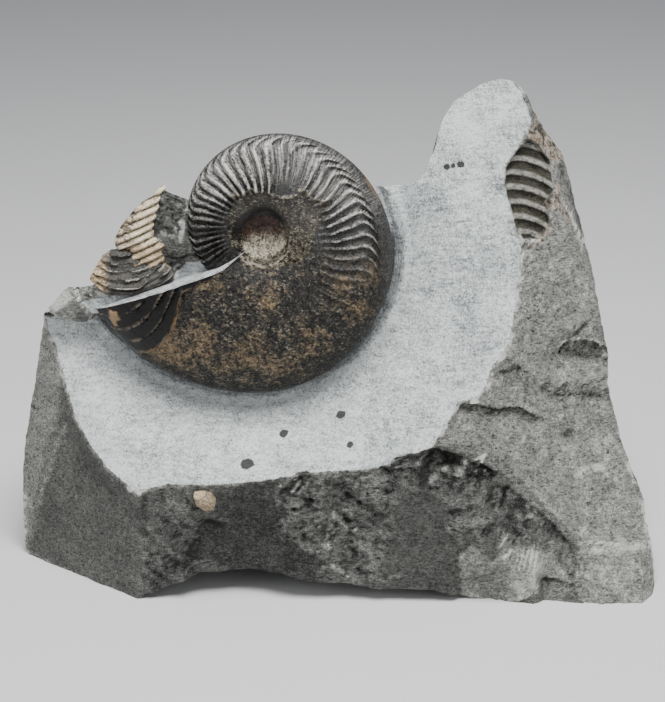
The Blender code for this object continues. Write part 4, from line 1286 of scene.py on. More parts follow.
def new_tree(name, inputs, outputs):
    """A geometry node group with these sockets, its input values and its output node."""
    tree = bpy.data.node_groups.new(name, "GeometryNodeTree")
    for side, sockets in (("INPUT", inputs), ("OUTPUT", outputs)):
        for socket in sockets:
            kind = "NodeSocket" + SOCKET_KINDS.get(socket, "Float")
            tree.interface.new_socket(name=socket, in_out=side, socket_type=kind)
    given = tree.nodes.new("NodeGroupInput")
    made = tree.nodes.new("NodeGroupOutput")
    return tree, [Value(socket) for socket in given.outputs[:-1]], made


def grouped(tree, inner, *values):
    node = tree.nodes.new("GeometryNodeGroup")
    node.node_tree = inner
    return hand_out(node, *values)


def stored(geometry, name, value):
    """Keeps a field on the points under this name."""
    node = geometry.tree.nodes.new("GeometryNodeStoreNamedAttribute")
    node.data_type = "FLOAT"
    node.domain = "POINT"
    return filled(node, {"Geometry": geometry, "Name": name, "Value": value})


def through(kind, geometry, **inputs):
    """Passes geometry through a node of this kind."""
    node = geometry.tree.nodes.new(kind)
    connect(geometry, node.inputs[0])
    return filled(node, inputs)


def outer_radius(growth):
    belly = ((growth - BELLY_AT) / BELLY_WIDTH).bell() * BELLY_GAIN
    return START_RADIUS * (growth * GROWTH).math("EXPONENT") * (belly + 1)


def fold_curl(share):
    """How far round the coil the crescent folds lag at each share of the flank."""
    least, foremost = FOLD_CURL_SHARES
    return (share.most(least) - foremost) ** 2 * FOLD_CURL


def crowned(share):
    """Half thickness of a whorl from its shoulder (0) to its rim (1), in outer radii."""
    low = 1 - ((FATTEST_AT - share) / FATTEST_AT).most(0) ** 3 * SHOULDER_DROP
    reach = ((share - FATTEST_AT) / (1 - FATTEST_AT)).most(0)
    return low * (1 - reach ** RIM_FULLNESS).most(0) ** RIM_ROUNDNESS * HALF_THICKNESS_SHARE


def whorl_tree():
    """One whorl: its height, how far its wall has climbed, and where the next one in is read."""
    tree, (radius, growth), made = new_tree(
        "One whorl", ("Radius", "Growth"), ("Height", "Climb", "Seam radius"))
    outer = outer_radius(growth)
    shoulder = (outer * SHOULDER_SHARE_LEAST).most(growth * SHOULDER_GAIN + SHOULDER_RADIUS)
    shoulder = shoulder + ((growth - NAVEL_TOP_AT) / NAVEL_TOP_WIDTH).bell() * NAVEL_TOP_GAIN
    seam = shoulder * NAVEL_SEAM_SHARE
    climb = ((radius - seam) / (shoulder - seam)).clamp() ** 0.85
    share = ((radius - shoulder) / (outer - shoulder)).clamp()
    hand_out(made, outer * crowned(share), climb, radius.least(seam))
    return tree


def shell_point_tree(whorl):
    """A point of the shell from its sweep round the coil and its row from navel to back."""
    tree, (sweep, row, rib_step, rib_height, fold_height), made = new_tree(
        "Shell point", ("Sweep", "Row", "Rib step", "Rib height", "Fold height"),
        ("Point", "Share", "Around", "Rib", "Fold", "Radius"))
    behind = row.over(RIM_ROW)
    front_way = ((row - HUB_ROW) / (RIM_ROW - HUB_ROW)).clamp()
    back_way = ((1 - row) / (1 - RIM_ROW)).clamp()
    way = front_way.mix(back_way, behind)
    share = 1 - (1 - way) ** ROW_CROWDING
    inner = (row / HUB_ROW).clamp() * (1 - behind) * HUB_RADIUS
    base = sweep + MOUTH_START
    growth = base
    for _ in range(3):
        radius = inner + (outer_radius(growth) - inner) * share
        reach = radius.most(HUB_RADIUS)
        offset = reach.rise(HUB_RADIUS, HUB_RADIUS + MOUTH_SAG_REACH) * MOUTH_SAG + MOUTH_OFFSET
        growth = base - (offset / reach).math("ARCSINE")
    at = radius
    whorls = []
    for level in range(INNER_WHORLS + 2):
        crest, climb, at = grouped(tree, whorl, at, growth - TURN * level)
        whorls.append((crest, climb))
    height = HUB_HEIGHT
    for crest, climb in reversed(whorls):
        height = height + (crest - height) * climb
    height = HUB_HEIGHT + (height - HUB_HEIGHT) * (radius / 1.2).clamp()
    depth = outer_radius(growth) * crowned(share.most(FATTEST_AT))
    depth = BACK_HUB_HEIGHT + (depth - BACK_HUB_HEIGHT) * share.rise(0, 0.5)

    angle = math.pi - growth
    flat_x, flat_y = radius * angle.math("COSINE"), radius * angle.math("SINE")
    place = combine(tree, flat_x, flat_y, 0)
    around = (growth - MOUTH_START + (MOUTH_OFFSET / reach).math("ARCSINE")) * (360 / TURN)
    turned = around.rise(*RIBS_TURN)
    bend = 0.86 - turned * 0.12
    forward = ((share - bend) / (1 - bend)).most(0) ** 2.4 * (turned * 21 + 9)
    trailing = (RIB_TRAIL_FROM - share).most(0) ** 1.1 * RIB_TRAIL
    rib_at = around - trailing - forward
    wander = noise_value(place, 0.11, 2) - 0.5
    number = (rib_at * RIB_SPREAD / rib_step + 1).math("LOGARITHM", math.e) / RIB_SPREAD
    number = number - RIB_SHIFT + wander * RIB_WANDER
    luck = tree.nodes.new("ShaderNodeTexWhiteNoise")
    luck.noise_dimensions = "1D"
    strong = filled(luck, {"W": (number + 0.5).math("FLOOR")}) * 0.55 + 0.7
    number = number + (rib_at - RIBS_CLOSER_FROM).most(0) * RIBS_CLOSER
    wave = ((number * TURN).math("COSINE") * 0.5 + 0.5) ** (0.8 + turned * 0.8)
    fade = (1 - rib_at.rise(*RIBS_END)) * (rib_at + 12).clamp(0, 12) / 12
    low_left = 1 - around.rise(60, 95)
    reached = share.rise(low_left * 0.16 + 0.04, low_left * 0.3 + 0.24)
    reached = reached * (1 - share.rise(0.97 - turned * 0.12, 1.0 - turned * 0.05))
    reached = reached * (1 - turned * (1 - share.rise(0.36, 0.52)) * 0.75)
    worn = ((rib_at - WORN_AT[0]) / WORN_AT[1]).bell() * (1 - share.rise(0.72, 0.95))
    numb_x = ((flat_x - NUMB_CENTRE[0]) / NUMB_HALF_SIZES[0]).math("ABSOLUTE")
    numb_y = ((flat_y - NUMB_CENTRE[1]) / NUMB_HALF_SIZES[1]).math("ABSOLUTE")
    numb = 1 - (numb_x ** 4 + numb_y ** 4).rise(0.75, 1.15)
    weak = (1 - numb * 0.85) * (1 - worn * 0.8)
    rib = wave * strong * fade * reached * weak
    late = rib_at.rise(210, 235) * (1 - rib_at.rise(268, 290))
    late = late * share.rise(0.4, 0.5) * (1 - share.rise(0.8, 0.9))
    rib = rib + wave ** 3 * late * LATE_RIB_SHARE

    fold_at = around - fold_curl(share) + wander * 1.5
    fold_turn = ((fold_at - FOLDS_FROM) / FOLD_STEP).math("FRACT")
    fold = (1 - fold_turn) ** 1.5 * fold_at.rise(FOLDS_FROM - 0.3, FOLDS_FROM + 0.3) * share.rise(0.2, 0.4)
    fold = fold * (1 - share.rise(0.95, 1.0)) * (wander * 1.6 + 1)
    lumps = (noise_value(place, 0.3, 4, 0.6) - 0.5) * 0.45 * share.rise(0, 0.1)
    pores = (noise_value(place, 0.9, 2, 0.6) - 0.5) * 0.22 * share.rise(0.02, 0.1)
    floor = (noise_value(place, 1.1, 3, 0.6) - 0.5) * 0.5 * (1 - radius.rise(8.5, 10))
    lift = (rib - 0.45 * fade * reached * weak) * 2 * rib_height + fold * fold_height + lumps + pores
    high = height + lift * (1 - share.rise(0.95, 1.0)) + floor * (radius / 2).clamp()
    high = high.mix(depth * -1, behind)
    point = combine(tree, flat_x * MM, flat_y * MM, high * MM)
    hand_out(made, point, share, around, rib, fold, radius)
    return tree


def shell_tree():
    """The whole shell as one closed net: swept flanks, then the mouth's face."""
    point_tree = shell_point_tree(whorl_tree())
    tree, given, made = new_tree(
        "Ammonite shell",
        ("Columns", "Rows", "Mouth columns", "Rib step", "Rib height", "Fold height", "Shell finish",
         "Mouth finish"),
        ("Geometry",))
    columns, rows, mouth_columns, rib_step, rib_height, fold_height, shell, filling = given
    geometry = filled(tree.nodes.new("GeometryNodeMeshGrid"), {
        "Size X": 1.0, "Size Y": 1.0, "Vertices X": columns + mouth_columns, "Vertices Y": rows,
    })
    position = tree.nodes.new("GeometryNodeInputPosition")
    sweep, across, _ = separate(Value(position.outputs[0]))
    sweep = (sweep + 0.5) * (columns + mouth_columns - 1) / (columns - 1)
    mouth = ((sweep - 1) * (columns - 1) / mouth_columns).clamp()
    mouth = mouth * (sweep - 1).over(0.0001)
    row = across + 0.5
    point, share, around, rib, fold, radius = grouped(
        tree, point_tree, sweep.clamp() * TURN, row, rib_step, rib_height, fold_height)
    start = grouped(tree, point_tree, 0.0, row, rib_step, rib_height, fold_height)[0]
    blend = tree.nodes.new("ShaderNodeMix")
    blend.data_type = "VECTOR"
    for name, value in (("Factor", mouth), ("A", point), ("B", start)):
        tree.links.new(value.socket, [s for s in blend.inputs if s.name == name and s.enabled][0])
    placed_at = Value([s for s in blend.outputs if s.enabled][0])
    on_face = mouth.over(0) * share.over(0.012) * (1 - row.over(RIM_ROW + 0.01))
    for name, value in (
        ("mouth", on_face), ("share", share), ("around", around), ("rib", rib), ("fold", fold),
        ("radius", radius),
    ):
        geometry = stored(geometry, name, value)
    geometry = through("GeometryNodeSetPosition", geometry, Position=placed_at)
    geometry = through("GeometryNodeMergeByDistance", geometry, Distance=MERGE_DISTANCE)
    kept = tree.nodes.new("GeometryNodeInputNamedAttribute")
    kept.data_type = "FLOAT"
    kept.inputs[0].default_value = "mouth"
    geometry = through("GeometryNodeRealizeInstances", geometry)
    geometry = through("GeometryNodeSetMaterial", geometry, Material=shell)
    geometry = through(
        "GeometryNodeSetMaterial", geometry, Selection=Value(kept.outputs[0]).over(0.3), Material=filling)
    hand_out(made, geometry)
    return tree


def weathered(mesh):
    """Marks the rotten skin and the tan spots, and gives the skin its thickness."""
    places = np.empty(len(mesh.vertices) * 3, np.float32)
    mesh.vertices.foreach_get("co", places)
    places = places.reshape(-1, 3)
    x, y, height = (places / MM).T
    at = np.stack([x, y, 0 * x], 1)
    jog = 0.8 * fractal(at, 3.0, 3, 0.7)
    skin = depth_inside(x + jog, y - jog, SKIN_EDGE)
    top_edge = bell(line_distance(x + jog, y - jog, SKIN_TOP) / 0.55)
    tan = sum(strength * mound(x, y, cx, cy, radius) for cx, cy, radius, strength in TAN_SPOTS)
    chip = ease(depth_inside(x + 1.3 * jog, y - 1.1 * jog, MOUTH_CHIP) / 0.6 + 0.4)
    seen = height > 0.5
    rise = (0.35 * top_edge - 0.3 * ease(skin / 0.8) * ease((np.hypot(x, y) - 9) / 3) + 0.7 * chip) * seen
    places[:, 2] += (rise * MM).astype(np.float32)
    mesh.vertices.foreach_set("co", places.ravel())
    for name, values in (("skin", skin), ("seam", top_edge * seen), ("tan", tan), ("chip", chip * seen)):
        keep(mesh, name, values)


# Colours of the shell; of two, the first is that of its darkest grains
WORN_AND_HIGHLIT_SHADE = (0.030, 0.029, 0.026)
ROTTEN_SHADE = (0.014, 0.0105, 0.007)
# Painted shade along the body's rim
RIM_SHADE = (0.006, 0.005, 0.004)
BODY_SPECK = (0.24, 0.215, 0.17)
SKIN = ((0.0035, 0.003, 0.0022), (0.15, 0.13, 0.095))
SKIN_BLACK = (0.007, 0.0055, 0.004)
SKIN_FLECK = (0.30, 0.27, 0.21)
SKIN_EDGE_PALE = (0.36, 0.31, 0.23)
GLOSSY_BLACK = ((0.002, 0.002, 0.002), (0.010, 0.0095, 0.009))
NAVEL_CRUST = ((0.06, 0.052, 0.038), (0.60, 0.55, 0.43))
# The navel's bare upper floor, darkened as painted shade
NAVEL_BARE_AND_SHADED = ((0.004, 0.0025, 0.002), (0.085, 0.045, 0.033))
NAVEL_SHADOW = (0.003, 0.0028, 0.0025)
NAVEL_RING = (0.33, 0.31, 0.26)
MOUTH_RUST = (0.27, 0.165, 0.085)
FOLD_PALE = (0.16, 0.135, 0.10)
BROKEN_RIM = ((0.16, 0.09, 0.045), (0.42, 0.29, 0.17))


def shell_finish(settings):
    """Black shell, worn pale on its ribs with a painted highlight on their crests and over the crown, with
    brown rotten skin on the body and round the navel.
    """
    finish = Finish("ammonite shell")
    at = finish.at
    x, _, z = separate(at)
    share, around, rib, radius, fold = (
        finish.attribute(name) for name in ("share", "around", "rib", "radius", "fold"))
    cloud, mottle, gravel, grain = finish.noises(
        (0.06, 3, 0.6), (0.22, 4, 0.7, 0.4), (0.5, 4, 0.7), (1.1, 3, 0.75))
    fleck = stretched_noise(at, (0.9, 0.9, 1.7), 2, 0.6)
    sharp = (grain * 0.65 + gravel * 0.35).rise(0.38, 0.64)

    # Ribs worn pale, most of all on the crown; the pale is also a painted highlight on the rib crests and
    # over the crown
    body = around.rise(198, 245) * (1 - (around - (share - 0.8) ** 2 * FOLD_CURL).rise(335.5, 336.5))
    # The crown, the shell's top, where the painted highlight is strongest
    top = (z + (mottle - 0.5) * 24).rise(138, 156) * (1 - around.rise(190, 230))
    swept = around - (0.9 - share).most(0) * 24
    lined = noise_value(combine(finish.tree, swept * 0.75, share * 2.2, 0), 1.0, 3, 0.7, 0.3).rise(0.44, 0.58)
    painted_light_and_marks = (gravel * 0.3 + fleck * 0.3 + mottle * 0.4).rise(0.42, 0.58) * top * share.rise(0.3, 0.5) * 0.9
    painted_light_and_marks = painted_light_and_marks * 0.2 + lined * top * share.rise(0.35, 0.6) * 0.9
    # The rib crests: partly worn pale and partly a painted highlight
    crest = rib.rise(0.42, 0.95) * (gravel.rise(0.36, 0.56) * 0.45 + 0.5)
    crest = crest * (1 - (1 - around.rise(60, 90)) * (1 - share.rise(0.4, 0.75)) * 0.85)
    crest = crest * (around.rise(30, 95) * 0.75 + 0.25 - around.rise(150, 190) * 0.15)
    # Wear and painted highlight together
    worn = crest.most(painted_light_and_marks * (rib * 1.5 + 0.08).most(lined * 0.4).clamp())
    worn = worn * (1 - body) * (1 - share.rise(0.93, 1) * 0.6)

    # The body, rotten brown in clouds, with pale specks
    spread = cloud * 1.3 - 0.3 + mottle * 0.85 + finish.attribute("tan") * 0.5 - 0.1
    spread = spread + around.rise(250, 330) * 0.08 - share.rise(0.9, 0.97) * 0.12
    spread = spread - (1 - share.rise(0.1, 0.5)) * 0.16
    brown = (spread + (gravel - 0.5) * 0.9 + (fleck - 0.5) * 0.5).rise(0.62, 1.15) * body
    specks = fleck.rise(0.55, 0.65) * gravel.rise(0.44, 0.53) * mottle.rise(0.38, 0.54) * body * 0.85

    # The rotten skin round the navel, and the navel's floor with its crust, its bare upper half painted
    # darker as shade, and a painted shadow on its upper wall
    inside = (finish.attribute("skin") + (gravel - 0.5) * 1.5).rise(-0.3, 0.6)
    blackened = (mottle * 0.5 + gravel * 0.5).rise(0.40, 0.54) * (1 - around.rise(150, 250) * 0.7)
    skin = overlaid(blend_colours(sharp, *SKIN), (blackened, SKIN_BLACK))
    flecked = inside * fleck.rise(0.52, 0.60) * gravel.rise(0.44, 0.54) * 0.55
    seam = finish.attribute("seam").rise(0.35, 1.0) * gravel.rise(0.44, 0.56) * 0.8
    hollow = 1 - (radius + (gravel - 0.5) * 5 + (mottle - 0.5) * 9).rise(7.8, 9.6)
    # Crust on the lower floor; the upper floor is bare shell, painted darker as shade
    crusted = 1 - (z + (x + 26) * -0.15 + (mottle - 0.5) * 10 + (gravel - 0.5) * 9).rise(133, 139.5)
    floor = blend_colours(
        crusted, blend_colours(sharp, *NAVEL_BARE_AND_SHADED), blend_colours(sharp, *NAVEL_CRUST))
    shadow = (1 - radius.away(9.9).rise(1.0, 2.6)) * (z - (x + 26) * 0.3).rise(137, 142)
    ring = (1 - radius.away(10.9).rise(0.05, 0.75)) * gravel.rise(0.38, 0.58)
    ring = ring * (1 - (z - (x + 26) * 0.25).rise(131, 138)) * around.rise(190, 215)

    # The glossy folds by the mouth, and its broken rim
    fold_at = around - fold_curl(share) + (mottle - 0.5) * 3
    glossy = fold_at.rise(FOLDS_FROM - 0.2, FOLDS_FROM + 0.3)
    rust = (1 - fold_at.away(FOLDS_FROM).rise(0.15, 0.8)) * gravel.rise(0.35, 0.55) * share.rise(0.3, 0.5)
    pale_fold = fold.rise(0.6, 1.0) * (gravel * 0.5 + mottle * 0.5).rise(0.42, 0.56)
    edge = share.rise(0.975, 0.985) * around.rise(172, 176) * (1 - around.rise(182, 190)) * 0.5

    finish.paint(overlaid(
        blend_colours(sharp, settings.black_shade, settings.black_tint),
        # Wear and painted highlight on the ribs and crown
        (worn * 0.85, blend_colours(sharp.most(lined * top * 0.7), WORN_AND_HIGHLIT_SHADE, settings.worn_and_highlit_tint)),
        (brown * 0.9, blend_colours(sharp, ROTTEN_SHADE, settings.rotten_tint)),
        # Painted shade along the body's rim, where the flank turns away from the light
        (share.rise(0.80, 0.99) * body * 0.6, RIM_SHADE),
        (specks, BODY_SPECK),
        (inside * 0.85, skin),
        (flecked, SKIN_FLECK),
        (seam, SKIN_EDGE_PALE),
        (glossy * 0.92, blend_colours(gravel, *GLOSSY_BLACK)),
        (hollow, floor),
        (shadow * 0.92, NAVEL_SHADOW),
        (ring * 0.7, NAVEL_RING),
        (rust * 0.8, MOUTH_RUST),
        (pale_fold * 0.7, FOLD_PALE),
        (finish.attribute("chip").most(edge * 0.8) * 0.9, blend_colours(grain, *BROKEN_RIM)),
    ))
    gloss = 0.27 + (grain - 0.5) * 0.3 + inside * 0.2 + brown * 0.25 + hollow * 0.3 - glossy * 0.12
    finish.paint(gloss.clamp(0.12, 0.9), "Roughness")
    level = 0.7 - around.rise(185, 240) * 0.5 - inside * 0.2 - (1 - around.rise(40, 90)) * 0.4
    finish.paint(level, "Specular IOR Level")
    rings = ((radius * (TURN / 0.85)).math("SINE") * 0.5 + 0.5) * radius.rise(9.4, 10)
    rings = rings * (1 - radius.rise(12, 12.8)) * around.rise(190, 215)
    finish.bump((grain * 0.4 + gravel * 0.75 + fleck * 0.25) * (1 - glossy * 0.7) + rings * 0.3, 0.8)
    return finish.material


def filling_finish(settings):
    """The stone that fills the mouth, ground pale."""
    finish = Finish("mouth filling", Roughness=0.7, Specular_IOR_Level=0.3)
    grain, cloud = finish.noises((0.8, 4, 0.75), (0.15, 4, 0.7))
    blend = (grain * 0.6 + cloud * 0.4).rise(0.42, 0.58)
    finish.paint(blend_colours(blend, settings.filling_shade, settings.filling_tint))
    finish.bump(grain, 0.2)
    return finish.material


def set_inputs(modifier, tree, values):
    """Sets a modifier's inputs by the names of the tree's sockets."""
    for item in tree.interface.items_tree:
        if item.in_out == "INPUT" and item.name in values:
            modifier[item.identifier] = values[item.name]


def grown_mesh(name, tree, values):
    """The plain mesh that a tree of geometry nodes makes with these inputs."""
    holder = bpy.data.objects.new(name, bpy.data.meshes.new(name))
    bpy.context.scene.collection.objects.link(holder)
    modifier = holder.modifiers.new(tree.name, "NODES")
    modifier.node_group = tree
    set_inputs(modifier, tree, values)
    evaluated = holder.evaluated_get(bpy.context.evaluated_depsgraph_get())
    mesh = bpy.data.meshes.new_from_object(evaluated)
    bpy.data.objects.remove(holder)
    mesh.name = name
    return mesh


# -------------------- The smaller pieces

FRAGMENT_EDGE = (
    (-65.1, 154.4), (-63.8, 153.6), (-65.6, 147.2), (-66.4, 143.8), (-68.1, 140.3), (-69, 135.7),
    (-66.8, 132.8), (-64.7, 131), (-66.2, 128.4), (-64.9, 125.2), (-66.4, 123.8), (-63.5, 122.4),
    (-66.5, 122.4), (-69.2, 120.4), (-70.6, 119.6), (-72.3, 120.4), (-72.7, 121.7), (-76.4, 120.2),
    (-77.8, 121.2), (-79.8, 123), (-79.4, 126), (-78.4, 129), (-83.1, 128.2), (-84.2, 130),
    (-84.4, 131.7), (-83.7, 134.6), (-81.6, 138.2), (-77.4, 143.4), (-73.3, 147.5), (-69.2, 150),
    (-67.5, 152.4),
)
LAYERS_EDGE = (
    (-86, 128.2), (-80.7, 129), (-78, 128), (-70, 123.4), (-65.9, 124), (-62, 121.4), (-61.4, 119),
    (-69.6, 115.2), (-77.8, 112), (-89.4, 112.2), (-94.4, 117.4), (-92.8, 120.4), (-89.7, 125.7),
)
RIB_SLOPE = math.radians(25)
LAYERS_BEND = 0.024
LAYERS_MIDDLE = -81
LAYER_OVERHANG = 2.3
RIBBED_LEVELS = (0.2, 3.2)
LAYERS_BACK_LEVEL = -0.6

# The flake: its edge, how deep it is set in the stone, its face, and how far that bulges
CHIP_EDGE = (
    (-53, 43.9), (-51.8, 40.2), (-48.4, 37.9), (-45.2, 38.6), (-44.6, 41.6), (-46.4, 44.4),
    (-50, 44.6),
)
CHIP_BACK = -47.5
CHIP_FACE = -52.6
CHIP_BULGE = 1.5


def pillow_mesh(name, edge, front_y, back_y, rings, spokes):
    """A closed piece whose outline is given in X and Z, between two sheets that are functions."""
    cx = sum(x for x, _ in edge) / len(edge)
    cz = sum(z for _, z in edge) / len(edge)
    outline = resampled(list(edge) + [edge[0]], spokes + 1)[:-1]
    jog = fractal(upright(*outline.T), 2.2, 3)
    outward = outline - (cx, cz)
    outline = outline + outward / np.linalg.norm(outward, axis=1)[:, None] * (0.25 * jog)[:, None]
    if np.cross(outline[0] - (cx, cz), outline[1] - (cx, cz)) < 0:
        outline = outline[::-1]
    shares = np.linspace(0, 1, rings + 1)[1:]
    flat = np.concatenate([[(cx, cz)]] + [(cx, cz) + (outline - (cx, cz)) * share for share in shares])
    depth = depth_inside(flat[:, 0], flat[:, 1], outline.tolist())
    front = np.stack([flat[:, 0], front_y(flat[:, 0], flat[:, 1], depth), flat[:, 1]], 1)
    back = np.stack([flat[:, 0], back_y(flat[:, 0], flat[:, 1]), flat[:, 1]], 1)
    count = len(flat)
    faces = []
    for start, turn in ((0, 1), (count, -1)):
        ring = start + 1 + np.arange(spokes)
        faces += np.stack([np.full(spokes, start), ring, np.roll(ring, -1)], 1)[:, ::turn].tolist()
        for step in range(rings - 1):
            faces += quads(ring + step * spokes, ring + (step + 1) * spokes)[:, ::turn].tolist()
    rim = 1 + (rings - 1) * spokes + np.arange(spokes)
    faces += quads(rim, rim + count).tolist()
    return new_mesh(name, place_in_frame(np.concatenate([front, back])).tolist(), faces)


def slanting_rib(x, z, pitch, slope):
    """Ribs of 0 to 1 across a slope, each with a gentle upper side and a steep lower one."""
    across = z * math.cos(slope) - x * math.sin(slope)
    across = across + 0.35 * fractal(upright(x, z), 7, 2)
    turn = across / pitch - np.floor(across / pitch)
    return ease(np.where(turn < 0.35, turn / 0.35, (1 - turn) / 0.65))


def layer_turn(x, z, step):
    """Where a point lies in its layer of the broken shell: 0 at its foot and 1 at its top."""
    level = (z - LAYERS_BEND * (x - LAYERS_MIDDLE) ** 2) / step
    return level - np.floor(level)


def fragment_meshes(settings):
    """The ribbed piece of shell and the broken layers under it."""
    def upper_y(x, z, depth):
        at = upright(x, z)
        rib = slanting_rib(x, z, settings.rib_pitch / MM, RIB_SLOPE)
        edge = 1.6 * (1 - ease(depth / 1.6))
        bulge = 1.6 * ease(depth / 8)
        flaky = ease((-73 - x + 0.45 * (z - 140)) / 5) * ease((z - 128) / 8)
        rough = 0.16 * fractal(at, 3, 4, 0.8) + 0.5 * flaky * fractal(at * (0.5, 1, 1.4), 2.0, 3, 0.7)
        ribs = settings.rib_height / MM * (2 * rib - 1) * ease(depth / 0.6 + 0.2)
        return coil_plane_y(x, z, RIBBED_LEVELS[1]) - ribs + edge - bulge - rough

    def lower_y(x, z, depth):
        at = upright(x, z)
        edge = 1.4 * (1 - ease(depth / 1.2))
        rough = 0.3 * fractal(at * (0.5, 1, 1), 2.5, 4, 0.8, offset=3)
        jog = 0.9 * fractal(at, 6, 3, 0.8)
        overhang = LAYER_OVERHANG * (0.6 + 0.8 * ease(0.5 + fractal(at, 9, 2, offset=2)))
        step = (1 - layer_turn(x, z + jog, settings.layer_step / MM)) * overhang
        return coil_plane_y(x, z, 4.0 - 0.09 * (z - 118)) - step + edge - rough

    def back_at(level):
        return lambda x, z: coil_plane_y(x, z, level)

    upper = pillow_mesh("upper", FRAGMENT_EDGE, upper_y, back_at(RIBBED_LEVELS[0]), 70, 280)
    lower = pillow_mesh("lower", LAYERS_EDGE, lower_y, back_at(LAYERS_BACK_LEVEL), 56, 260)
    return upper, lower


def flake_mesh():
    """The small flake of shell stuck to the front of the block."""
    def front_y(x, z, depth):
        rough = 0.25 * fractal(upright(x, z), 1.6, 3)
        return CHIP_FACE - CHIP_BULGE * ease(depth / 1.8) - rough

    return pillow_mesh("chip", CHIP_EDGE, front_y, lambda x, z: CHIP_BACK + 0 * x, 12, 48)


# Colours of the broken shell; of two, the first is that of its darkest grains
TAN_STAIN = ((0.20, 0.14, 0.075), (0.66, 0.51, 0.32))
GROOVE = (0.045, 0.031, 0.018)
FLAKED = (0.05, 0.038, 0.027)
BROWN_STAIN = (0.15, 0.105, 0.06)
CHIP_BROWN = ((0.09, 0.065, 0.04), (0.38, 0.30, 0.20))
LAYER_DARK = ((0.004, 0.004, 0.0038), (0.10, 0.093, 0.08))
LAYER_CREAM = ((0.20, 0.19, 0.165), (0.72, 0.69, 0.62))
LAYER_TAN = ((0.20, 0.13, 0.07), (0.78, 0.62, 0.40))


def ribbed_finish(settings):
    """Cream shell with tan stains, seen from inside; the flake on the front has it too."""
    finish = Finish("ribbed shell", Roughness=0.6, Specular_IOR_Level=0.4)
    x, _, z = separate(finish.at)
    mottle, gravel, grain = finish.noises((0.22, 4, 0.6), (0.8, 4, 0.7), (1.8, 3, 0.7))
    sharp = grain.rise(0.34, 0.66)
    across = z * math.cos(RIB_SLOPE) - x * math.sin(RIB_SLOPE) + (mottle - 0.5) * 1.4
    dip = (across / (settings.rib_pitch / MM)).math("FRACT").away(0.97)
    groove = (1 - dip.least(1 - dip).rise(0.05, 0.2)) * gravel.rise(0.3, 0.5)
    low = 1 - (z + (mottle - 0.5) * 8 - (x + 72) * 0.3).rise(130, 134)
    flaky = (-73 - x + (z - 140) * 0.45 + (mottle - 0.5) * 6).rise(0, 5) * z.rise(128, 134)
    flakes = stretched_noise(finish.at, (0.25, 0.25, 1.3), 3, 0.7).rise(0.42, 0.56)
    stain = (mottle * 0.5 + gravel * 0.5).rise(0.52, 0.66)
    chip = (1 - z.rise(60, 80)) * ((x + 53) * 0.6 + (44.6 - z) + (gravel - 0.5) * 4).rise(1.8, 3.2)
    finish.paint(overlaid(
        blend_colours(sharp, settings.cream_shade, settings.cream_tint),
        (low * 0.85, blend_colours(sharp, *TAN_STAIN)),
        (groove * 0.9, GROOVE),
        (flaky * flakes * 0.9, FLAKED),
        (stain * 0.5, BROWN_STAIN),
        (chip * 0.85, blend_colours(sharp, *CHIP_BROWN)),
    ))
    finish.bump(grain * 0.4 + gravel * 0.6, 0.5)
    return finish.material


def layered_finish(settings):
    """Edges of shell layers: cream tops over dark grey fronts, tan at their left ends."""
    finish = Finish("layered shell", Roughness=0.6, Specular_IOR_Level=0.4)
    x, _, z = separate(finish.at)
    gravel, grain = finish.noises((0.7, 4, 0.7), (1.6, 4, 0.7))
    sharp = grain.rise(0.34, 0.66)
    level = z - (x - LAYERS_MIDDLE) ** 2 * LAYERS_BEND + (gravel - 0.5) * 1.4
    turn = (level / (settings.layer_step / MM)).math("FRACT")
    leftward = x * -1
    share = (1 - turn.rise(0.0, 0.08)) + turn.rise(0.62, 0.75) * (0.35 + leftward.rise(80, 90) * 0.65)
    share = share.most(leftward.rise(85.5, 89) * gravel.rise(0.42, 0.52))
    cap = (z + (gravel - 0.5) * 2).rise(123.6, 124.6) * (1 - leftward.rise(84.5, 86) * 0.5)
    light = overlaid(
        blend_colours(sharp, *LAYER_TAN),
        ((x + (gravel - 0.5) * 5).rise(-88.5, -85), blend_colours(sharp, *LAYER_CREAM)))
    finish.paint(overlaid(blend_colours(sharp, *LAYER_DARK), ((share * (1 - cap)).clamp(), light)))
    finish.bump(grain * 0.5 + gravel * 0.5, 0.5)
    return finish.material


def smoothed(mesh, *materials, angle=40):
    for material in materials:
        mesh.materials.append(material)
    mesh.shade_smooth()
    mesh.set_sharp_from_angle(angle=math.radians(angle))
    mesh.update()
    return mesh


def linked(name, data):
    """A new object in the scene, in place of any of the same name."""
    if name in bpy.data.objects:
        bpy.data.objects.remove(bpy.data.objects[name])
    thing = bpy.data.objects.new(name, data)
    bpy.context.scene.collection.objects.link(thing)
    return thing


def add_piece(name, mesh, node):
    """Puts a finished mesh in the scene in place of a node of the frame."""
    if not mesh.polygons:
        raise RuntimeError(f"{name} has no faces")
    thing = linked(name, mesh)
    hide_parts(node)
    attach(thing, "root")
    return thing


def joined(name, meshes):
    """One mesh of several, each keeping its own material."""
    whole = bmesh.new()
    for index, mesh in enumerate(meshes):
        count = len(whole.faces)
        whole.from_mesh(mesh)
        whole.faces.ensure_lookup_table()
        for face in whole.faces[count:]:
            face.material_index = index
    made = bpy.data.meshes.new(name)
    whole.to_mesh(made)
    whole.free()
    return made


# -------------------- Studio

TARGET = (0, 0, 84)
FLOOR_REACH = 6.0
SKY_COLOUR = (0.9, 0.93, 1.0, 1)
LIGHT_AIM = (0, 0, 0.09)
KEY_PLACE = (0.05, -0.3, 1.05)
KEY_SIZE = 0.6

# The weaker lights: name, place, size and power
SIDE_LIGHTS = (("fill", (0.9, -0.9, 0.5), 0.8, 3.0), ("left", (-1.0, -0.5, 0.5), 0.5, 2.5))


